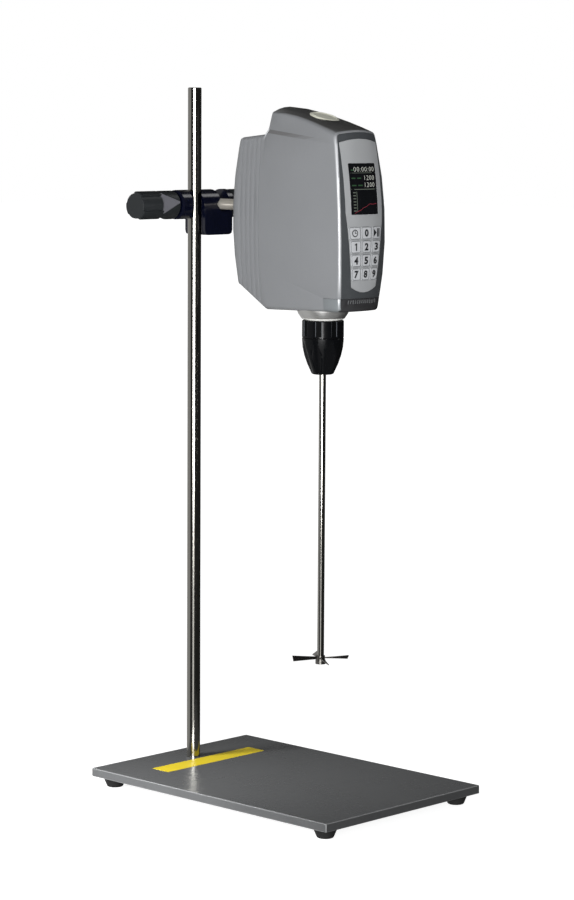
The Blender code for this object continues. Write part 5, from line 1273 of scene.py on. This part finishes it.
@dataclass
class ControlFront(Assembly):
    """Bezel, light panel, display with its picture, and twelve keys with their legends."""

    body: str = "head"
    legend_height: float = 0.0085
    legend_width: float = 0.72
    legend_weight: float = 0.045
    ink: float = 0.00006
    drawn_ahead: float = 0.01
    rows: tuple[tuple[float, float, str, float], ...] = (
        (0.045, 0.887, "00:00:00", 0.76), (0.215, 0.718, "1200", 0.37),
        (0.215, 0.580, "1200", 0.37))
    row_height: float = 0.088
    row_weight: float = -0.022
    row_spacing: float = 1.14
    label_height: float = 0.026
    rules: tuple[tuple[float, float], ...] = ((0.815, 0.008), (0.493, 0.013))
    rule_width: float = 0.92
    ticks: int = 7
    tick_place: tuple[float, float] = (-0.37, -0.43)
    tick_size: tuple[float, float] = (0.09, 0.020)
    tick_pitch: float = 0.060
    scale: tuple[float, float, float, float] = (-0.29, -0.25, 0.015, 0.40)
    cuts: int = 3
    border_start: float = 0.0004
    border_end: float = 0.0010
    labels: tuple[tuple[float, float, float], ...] = (
        (-0.38, 0.872, 0.10), (-0.37, 0.712, 0.13), (-0.17, 0.712, 0.14), (-0.36, 0.570, 0.15),
        (-0.14, 0.570, 0.16))
    keys: tuple[tuple[str, str, Symbol], ...] = field(default_factory=lambda: (
        ("key_timer", "timer_key", Symbol.CLOCK), ("key_0", "digit_0", Symbol.DIGIT),
        ("key_start", "start_key", Symbol.START),
        ("key_1", "digit_1", Symbol.ONE),
        *((f"key_{digit}", f"digit_{digit}", Symbol.DIGIT) for digit in range(2, 10))))

    def build(self) -> None:
        """Makes the front's mouldings, the display's picture and the keys."""
        # The bezel's dark grey is painted shade on the front.
        self.refine("front_bezel", Palette.BEZEL, edge=Edge.FINE)
        self.refine("front_panel", Palette.PANEL, edge=Edge.FILM)
        self.refine("display_window", Palette.WINDOW, edge=Edge.CRISP)
        self.keep("display_module", Palette.SOCKET)
        self.keep("key_mat", Palette.MAT)
        self.keep("control_board", Palette.BOARD)
        for node, body, symbol in self.keys:
            self.refine(node, Palette.KEY, body, edge=Edge.FILM)
            self.border(node, body)
            self.legend(node, body, symbol)
        self.picture()

    def printed(self, thing: bpy.types.Object, node: str, finish: Finish,
                body: str | None = None) -> bpy.types.Object:
        """Lays a flat figure, drawn facing -Y, on a solid's front and gives it a thickness.

        Args:
            thing: The flat figure, in front of the solid.
            node: The solid.
            finish: The figure's finish.
            body: The body it moves with.

        Returns:
            The printed figure.
        """
        solid = frame["nodes"][node]
        with Bench.editing(thing):
            bpy.ops.mesh.subdivide(number_cuts=self.cuts)
        Bench.modify(thing, "SHRINKWRAP", target=solid, wrap_method="PROJECT",
                     use_project_x=False, use_project_y=True, use_positive_direction=True,
                     use_negative_direction=False, offset=self.ink / 2)
        Bench.modify(thing, "SOLIDIFY", thickness=self.ink, offset=0)
        return self.add(thing, finish, body)

    def lettering(self, name: str, words: str, width: float, height: float, centre: Vector,
                  weight: float = 0.0, spacing: float = 1.0) -> bpy.types.Object:
        """Flat figures that face the front.

        Args:
            name: Name of the piece.
            words: The figures.
            width: Their width.
            height: Their height.
            centre: Their middle.
            weight: Share of the height by which strokes are thickened.
            spacing: Distance between the figures, compared with the font's own.

        Returns:
            The figures as one flat mesh.
        """
        bpy.ops.object.select_all(action="DESELECT")
        bpy.ops.object.text_add(location=(0, 0, 0))
        text = bpy.context.active_object
        text.name = name
        text.data.body = words
        text.data.align_x = "CENTER"
        text.data.align_y = "CENTER"
        text.data.size = 1
        text.data.offset = weight
        text.data.space_character = spacing
        text.data.resolution_u = 4
        bpy.ops.object.convert(target="MESH")
        made = bpy.context.active_object
        spans = [(min(line), max(line))
                 for line in zip(*(point.co.xy for point in made.data.vertices))]
        (left, right), (bottom, top) = spans
        centring = Matrix.Translation((-(left + right) / 2, -(top + bottom) / 2, 0))
        sizing = Matrix.Diagonal((width / (right - left), height / (top - bottom), 1, 1))
        standing = Matrix.Rotation(math.radians(90), 4, "X")
        made.data.transform(Matrix.Translation(centre) @ standing @ sizing @ centring)
        return made

    def ahead(self, node: str) -> Vector:
        """Where flat figures are drawn for a solid: before the middle of its box.

        Args:
            node: The solid.

        Returns:
            The place.
        """
        centre = middle(node)
        centre.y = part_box(node)[0].y - self.drawn_ahead
        return centre

    def outline(self, name: str, loops: Iterable[Profile], centre: Vector) -> bpy.types.Object:
        """Flat faces that face the front, from outlines of (across, up) points.

        Args:
            name: Name of the piece.
            loops: The outlines, as quads or triangles.
            centre: Their middle.

        Returns:
            The faces as one flat mesh.
        """
        bm = bmesh.new()
        for loop in loops:
            corners = [bm.verts.new((centre.x + x, centre.y, centre.z + z)) for x, z in loop]
            bm.faces.new(corners)
        for face in bm.faces:
            face.normal_update()
            if face.normal.y > 0:
                face.normal_flip()
        mesh = bpy.data.meshes.new(name)
        bm.to_mesh(mesh)
        bm.free()
        made = bpy.data.objects.new(name, mesh)
        bpy.context.scene.collection.objects.link(made)
        return made

    def border(self, node: str, body: str) -> None:
        """The thin dark line round one key.

        Args:
            node: The key's solid.
            body: The key's body.
        """
        centre = self.ahead(node)
        points = [Vector((point.co.x - centre.x, point.co.z - centre.z))
                  for point in frame["nodes"][node].data.vertices]
        rim = [points[index] for index in convex_hull_2d(points)]
        loops = []
        for first, last in zip(rim, rim[1:] + rim[:1]):
            loops.append([tuple(point * (1 - back / point.length))
                          for point, back in ((first, self.border_start), (last, self.border_start),
                                              (last, self.border_end), (first, self.border_end))])
        made = self.outline(f"border_{node}", loops, centre)
        self.printed(made, node, Palette.BORDER, body)

    def legend(self, node: str, body: str, symbol: Symbol) -> None:
        """The legend of one key, in the font's figures except for a 1, which they'd distort.

        Args:
            node: The key's solid.
            body: The key's body.
            symbol: What is printed on it.
        """
        centre, height, name = self.ahead(node), self.legend_height, f"legend_{node}"
        if symbol is Symbol.DIGIT:
            made = self.lettering(name, node[-1], height * self.legend_width, height, centre,
                                  self.legend_weight)
        else:
            strokes = {Symbol.ONE: ONE, Symbol.START: START,
                       Symbol.CLOCK: self.clock_strokes()}[symbol]
            made = self.outline(name, [[(x * height, z * height) for x, z in loop]
                                       for loop in strokes], centre)
        self.printed(made, node, Palette.LEGEND, body)

    @staticmethod
    def clock_strokes(ring: tuple[float, float] = (0.5, 0.37), hand: float = 0.055,
                      long: float = 0.33, short: float = 0.26, steps: int = 28) -> Loops:
        """A clock's face as shares of the legend's height: a ring and two hands.

        Args:
            ring: Outer and inner radius of the ring.
            hand: Half the width of a hand.
            long: Reach of the upright hand.
            short: Reach of the level hand.
            steps: Faces round the ring.

        Returns:
            The outlines.
        """
        outer, inner = ring
        turns = [2 * math.pi * step / steps for step in range(steps + 1)]
        loops = [[(reach * math.cos(turn), reach * math.sin(turn))
                  for reach, turn in ((outer, start), (outer, end), (inner, end), (inner, start))]
                 for start, end in zip(turns, turns[1:])]
        loops.append([(-hand, -hand), (hand, -hand), (hand, long), (-hand, long)])
        loops.append([(hand, -hand), (short, -hand), (short, hand), (hand, hand)])
        return loops

    def picture(self) -> None:
        """The display's picture: three rows of figures over a rising curve on its axes."""
        low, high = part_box("display_window")
        centre = self.ahead("display_window")
        wide, tall = high.x - low.x, high.z - low.z
        for index, (across, up, words, width) in enumerate(self.rows):
            made = self.lettering(f"display_row_{index + 1}", words, wide * width,
                                  tall * self.row_height,
                                  centre + Vector((wide * across, 0, tall * (up - 0.5))),
                                  self.row_weight, self.row_spacing)
            self.printed(made, "display_window", Palette.DIGITS)
        across, up = self.tick_place
        ticks = [self.bar(across, up + self.tick_pitch * step, *self.tick_size)
                 for step in range(self.ticks)]
        drawn = (
            ("labels", Palette.ROWS, [self.bar(across, up - 0.5, width, self.label_height)
                                      for across, up, width in self.labels]),
            ("rules", Palette.RULE, [self.bar(0, up - 0.5, self.rule_width, thick)
                                     for up, thick in self.rules]),
            ("ticks", Palette.RULE, [*ticks, self.bar(*self.scale)]),
            ("curve", Palette.CURVE, self.curve()),
        )
        for name, finish, strokes in drawn:
            loops = [[(x * wide, z * tall) for x, z in loop] for loop in strokes]
            self.printed(self.outline(f"display_{name}", loops, centre), "display_window", finish)

    @staticmethod
    def bar(across: float, up: float, width: float, height: float) -> list[tuple[float, float]]:
        """A flat bar round a middle point."""
        return [(across - width / 2, up - height / 2), (across + width / 2, up - height / 2),
                (across + width / 2, up + height / 2), (across - width / 2, up + height / 2)]

    @staticmethod
    def curve(start: float = -0.38, run: float = 0.82, half: float = 0.0035,
              steps: int = 18) -> Loops:
        """The speed's curve, which rises and levels out, as shares of the picture's size.

        Args:
            start: Where it starts across the picture.
            run: How far it goes across.
            half: Half its thickness.
            steps: Pieces along the curve.

        Returns:
            The outlines of its pieces.
        """
        base, rise, pace, creep, ripple, waves = -0.475, 0.165, 1.5, 0.012, 0.005, 21

        def height(share: float) -> float:
            """A rise, a nearly level end and a slight wave, at a share of the run."""
            return (base + rise * min(1, share * pace) + creep * share
                    + ripple * math.sin(share * waves))

        points = [(start + run * step / steps, height(step / steps)) for step in range(steps + 1)]
        return [[(first, low - half), (last, high - half), (last, high + half),
                 (first, low + half)] for (first, low), (last, high) in zip(points, points[1:])]


@dataclass
class Drive(Assembly):
    """What the housing holds: frame, deck, motor, gears, spindle and bearings."""

    body: str = "head"

    def build(self) -> None:
        """Dresses the inner pieces."""
        for node in ("drive_frame", "motor_deck"):
            self.keep(node, Palette.CASTING)
        for node in ("motor_rotor", "motor_pinion", "spindle_gear", "lower_bearing",
                     "upper_bearing"):
            self.keep(node, Palette.GEAR)
        self.keep("motor_can", Palette.CAN)
        self.keep("hollow_spindle", Palette.SHAFT)


@dataclass
class Chuck(Assembly):
    """Neck ring, keyless chuck, stirring shaft and propeller."""

    body: str = "spindle"
    spigot_rise: float = 0.0025
    collar_rounding: float = 0.0008
    collar_inside: float = 0.8
    groove_depth: float = 0.0004
    flank_turn: float = 0.97
    end_slope: float = 0.3
    neck_bore: float = 0.0100
    neck_spigot: float = 0.0145
    neck_shape: Profile = (
        (0, 0.0003), (0, 0.0013), (0.0006, 0.0030), (0.0018, 0.005888), (0.0036, 0.008448),
        (0.0049, 0.0105), (0.0061, 0.0118))
    ring_radius: float = 0.0205
    ring_level: float = 0.0109
    shaft_edge: float = Edge.SOFT

    def build(self) -> None:
        """Makes the neck, the chuck and what it holds."""
        self.neck()
        self.keep("chuck_body", Palette.GEAR)
        self.collar()
        self.refine("chuck_sleeve", Palette.CHUCK, "sleeve", edge=Edge.SOFT)
        for index in (1, 2, 3):
            self.refine(f"chuck_jaw_{index}", Palette.JAW, f"jaw_{index}", edge=Edge.CRISP)
        self.round_bar("stirrer_shaft", "polished_shaft", Palette.SHAFT, "stirrer",
                       (self.shaft_edge, self.shaft_edge))
        self.refine("propeller", Palette.BLADE, "stirrer", edge=Edge.CRISP)

    def collar(self) -> None:
        """The chuck's collar, glossy on its lands and matt in its grip grooves, with painted shade
        darkening the grooves and a painted highlight on their flanks.
        """
        _, high, axis = extent("chuck_collar")
        reach = high.x - axis.x

        def choose(face: bpy.types.MeshPolygon) -> int:
            """The flanks' painted highlight beside a groove, the grooves' matt finish with painted
            shade, else the collar's.

            Args:
                face: A face of the piece.

            Returns:
                The number of its finish.
            """
            arm, away = (face.center - axis).xy, face.normal.xy
            if arm.length < reach * self.collar_inside or abs(face.normal.z) > self.end_slope:
                return 0
            if away.normalized().dot(arm.normalized()) < self.flank_turn:
                return 2
            return int(arm.length < reach - self.groove_depth)

        made = Bench.painted(Bench.refined("chuck_collar", self.collar_rounding),
                             (Palette.CHUCK, Palette.RECESS, Palette.FLANK), choose)
        self.add(made, Palette.CHUCK, stands_for=("chuck_collar",))

    def neck(self) -> None:
        """The turned aluminium neck under the housing, with a white ring at its foot."""
        low, high, place = extent("neck_ring")
        floor = high.z - self.spigot_rise
        curve = [(high.x - place.x - inset, floor - depth) for inset, depth in self.neck_shape]
        profile = [(self.neck_bore, high.z), (self.neck_spigot, high.z),
                   (self.neck_spigot, curve[0][1]), *curve, (self.ring_radius, curve[-1][1]),
                   (self.ring_radius, low.z), (self.neck_bore, low.z), (self.neck_bore, high.z)]
        made = Bench.turned("turned_neck", profile, Matrix.Translation((place.x, place.y, 0)), 96,
                            Edge.CRISP, 50)
        Bench.painted(made, (Palette.NECK, Palette.RING),
                      lambda face: int(face.center.z < floor - self.ring_level))
        self.add(made, Palette.NECK, "head", ("neck_ring",))


@dataclass
class RearFittings(Assembly):
    """Plate at the rear with the mains inlet and the power rocker."""

    body: str = "head"
    pin_field: tuple[float, float] = (0.0095, 0.0070)
    pin_depth: float = 0.0160

    def build(self) -> None:
        """Makes the plate, the inlet with bare metal pins, and the bare rocker."""
        self.refine("socket_plate", Palette.SOCKET, edge=Edge.FINE)
        self.inlet()
        self.refine("power_rocker", Palette.SOCKET, "rocker", edge=Edge.FINE)

    def inlet(self) -> None:
        """The mains inlet, whose pins are bare metal."""
        _, high, centre = extent("mains_inlet")
        half_width, half_height = self.pin_field

        def choose(face: bpy.types.MeshPolygon) -> int:
            """The pins' finish inside their field, else the plastic's.

            Args:
                face: A face of the piece.

            Returns:
                The number of its finish.
            """
            offset = face.center - centre
            inside = abs(offset.x) < half_width and abs(offset.z) < half_height
            return int(inside and face.center.y > high.y - self.pin_depth)

        made = Bench.painted(Bench.refined("mains_inlet", Edge.CRISP),
                             (Palette.SOCKET, Palette.SCREW), choose)
        self.add(made, Palette.SOCKET, stands_for=("mains_inlet",))


@dataclass
class Studio:
    """Floor, light and camera of the photograph."""

    frame_height: int = 900
    focal_pixels: float = 2910.0
    sensor: float = 36.0
    eye: tuple[float, float, float] = (-2.40527, -2.31196, 0.80785)
    yaw: float = -0.80571183
    pitch: float = 0.11971126
    roll: float = 0.00584414
    floor_size: float = 30.0
    floor_drop: float = 0.0002
    floor_tone: float = 0.35
    floor_glow: tuple[float, float] = (0.90, 1.0)
    floor_fade: tuple[float, float] = (1.2, 1.1)
    key_power: float = 105.0
    key_size: tuple[float, float] = (1.5, 1.2)
    key_distance: float = 3.0
    key_turn: float = 6.0
    key_height: float = 0.55
    key_aim: float = 0.45
    corner_power: float = 1.8
    corner_size: tuple[float, float] = (0.25, 0.25)
    corner_distance: float = 0.7
    corner_turn: float = 72.0
    corner_height: float = 0.30
    corner_spread: float = 56.0
    room_light: float = 0.16
    ceiling_light: float = 0.35
    ceiling_edge: tuple[float, float] = (0.35, 0.3)
    dark_room: float = 0.03
    bands: tuple[tuple[float, float, float, float, float, float], ...] = (
        (-172.0, -62.0, 6.0, 0.50, -1.5, 0.55), (-17.0, 6.0, 4.0, 1.25, -1.5, 0.60),
        (25.0, 105.0, 15.0, 0.22, -1.5, -0.40), (106.0, 134.0, 5.0, 11.0, 0.67, 0.67))
    band_softness: float = 0.10

    def build(self) -> None:
        """Sets up the whole studio."""
        self.camera()
        self.floor()
        self.lights()
        self.surroundings()

    def camera(self) -> None:
        """The camera, at the photograph's viewpoint."""
        ahead = Vector((-math.sin(self.yaw) * math.cos(self.pitch),
                        math.cos(self.yaw) * math.cos(self.pitch), -math.sin(self.pitch)))
        right = ahead.cross(Vector((0, 0, 1))).normalized()
        up = right.cross(ahead)
        turn, lean = math.cos(self.roll), math.sin(self.roll)
        right, up = turn * right + lean * up, turn * up - lean * right
        data = bpy.data.cameras.new("photo_camera")
        data.sensor_fit = "VERTICAL"
        data.sensor_height = self.sensor
        data.lens = self.focal_pixels * self.sensor / self.frame_height
        data.clip_end = 100
        made = bpy.data.objects.new("photo_camera", data)
        bpy.context.scene.collection.objects.link(made)
        made.matrix_world = Matrix.Translation(self.eye) @ Matrix(
            (right, up, -ahead)).transposed().to_4x4()
        bpy.context.scene.camera = made
        bpy.context.scene.view_settings.view_transform = "Standard"

    def floor(self) -> None:
        """A plain pale floor that keeps the stirrer's soft shadow."""
        bpy.ops.object.select_all(action="DESELECT")
        bpy.ops.mesh.primitive_plane_add(size=self.floor_size,
                                         location=(0, 0, -self.floor_drop))
        made = bpy.context.active_object
        made.name = "studio_floor"
        recipe = Recipe("pale_floor")
        recipe.set(Base_Color=(self.floor_tone,) * 3, Roughness=0.9, Specular_IOR_Level=0.1)
        glow = recipe.node("ShaderNodeEmission", None, {"Color": (1, 1, 1, 1)})
        path = recipe.node("ShaderNodeLightPath")
        seen = (Signal(recipe, path.outputs["Is Camera Ray"])
                + Signal(recipe, path.outputs["Is Transmission Ray"]))
        across, along = recipe.axis("X"), recipe.axis("Y")
        far = (across * across + along * along).above(*self.floor_fade)
        near_glow, far_glow = self.floor_glow
        recipe.feed(glow.inputs["Strength"], seen * (near_glow + far * (far_glow - near_glow)))
        add = recipe.node("ShaderNodeAddShader", None,
                          {0: recipe.shader.outputs[0], 1: glow.outputs[0]})
        output = recipe.tree.nodes["Material Output"]
        recipe.tree.links.new(add.outputs[0], output.inputs["Surface"])
        made.data.materials.append(recipe.material)
        made.visible_glossy = False

    def lamp(self, name: str, power: float, size: tuple[float, float], turn: float,
             distance: float, height: float, aim: float) -> bpy.types.Object:
        """A soft rectangular light that looks at the stirrer.

        Args:
            name: Name of the light.
            power: Its power in watts.
            size: Its width and height.
            turn: Degrees to the left of the camera, seen from the stirrer.
            distance: How far away it stands.
            height: How high it stands.
            aim: Height of the point that it looks at.

        Returns:
            The light.
        """
        data = bpy.data.lights.new(name, "AREA")
        data.shape = "RECTANGLE"
        data.size, data.size_y = size
        data.energy = power
        made = bpy.data.objects.new(name, data)
        bpy.context.scene.collection.objects.link(made)
        away = Vector((self.eye[0], self.eye[1], 0)).normalized()
        away.rotate(Matrix.Rotation(math.radians(-turn), 3, "Z"))
        spot = away * distance + Vector((0, 0, height))
        look = Vector((0, 0, aim)) - spot
        made.matrix_world = Matrix.Translation(spot) @ look.to_track_quat(
            "-Z", "Y").to_matrix().to_4x4()
        made.visible_camera = False
        return made

    def lights(self) -> None:
        """One wide soft light beside the camera, and a small one for the plate's corner."""
        self.lamp("key_light", self.key_power, self.key_size, self.key_turn, self.key_distance,
                  self.key_height, self.key_aim)
        corner = self.lamp("corner_light", self.corner_power, self.corner_size, self.corner_turn,
                           self.corner_distance, self.corner_height, 0.0)
        corner.data.spread = math.radians(self.corner_spread)
        corner.visible_glossy = False

    def surroundings(self) -> None:
        """A white background, with a dim banded room for what shines on or mirrors in the stirrer.

        Each of the room's bands reaches from one turn to another, as seen from the stirrer and
        counted from the camera with left negative, with its softness, its light, and its lowest
        and highest sine of elevation.
        """
        world = bpy.data.worlds.new("pale_room")
        bpy.context.scene.world = world
        world.use_nodes = True
        sheet = NodeSheet(world.node_tree)
        path = sheet.node("ShaderNodeLightPath")
        place = sheet.node("ShaderNodeTexCoord").outputs["Generated"]
        away = Vector((self.eye[0], self.eye[1], 0)).normalized()
        right = Vector((-away.y, away.x, 0))

        def along(direction: Vector) -> Signal:
            """How far the view's direction runs along another.

            Args:
                direction: The other direction.

            Returns:
                The share, from -1 to 1.
            """
            node = sheet.node("ShaderNodeVectorMath", {"operation": "DOT_PRODUCT"},
                              {0: place, 1: direction})
            return Signal(sheet, node.outputs["Value"])

        turn = Signal(sheet, sheet.node("ShaderNodeMath", {"operation": "ARCTAN2"}, {
            0: along(right), 1: along(away)}).outputs[0])
        height = along(Vector((0, 0, 1)))
        mirrored = sum((turn.between(math.radians(start), math.radians(end), math.radians(soft))
                        * height.between(low, high, self.band_softness) * light
                        for start, end, soft, light, low, high in self.bands), self.dark_room)
        fill = self.room_light - height.above(*self.ceiling_edge) * (
            self.room_light - self.ceiling_light)
        strength = (Signal(sheet, path.outputs["Is Glossy Ray"]) * mirrored
                    + Signal(sheet, path.outputs["Is Diffuse Ray"]) * fill
                    + Signal(sheet, path.outputs["Is Camera Ray"])
                    + Signal(sheet, path.outputs["Is Transmission Ray"]))
        back = sheet.tree.nodes["Background"]
        sheet.feed(back.inputs["Color"], (1, 1, 1, 1))
        sheet.feed(back.inputs["Strength"], strength)


def main() -> None:
    """Builds every assembly in order, then the studio."""
    logging.basicConfig(level=logging.INFO, format="%(message)s")
    assemblies: tuple[Assembly, ...] = (
        Stand(), CrossClamp(), Housing(), ControlFront(), Drive(), Chuck(), RearFittings())
    for assembly in assemblies:
        assembly.build()
    Studio().build()


if __name__ == "__main__":
    main()
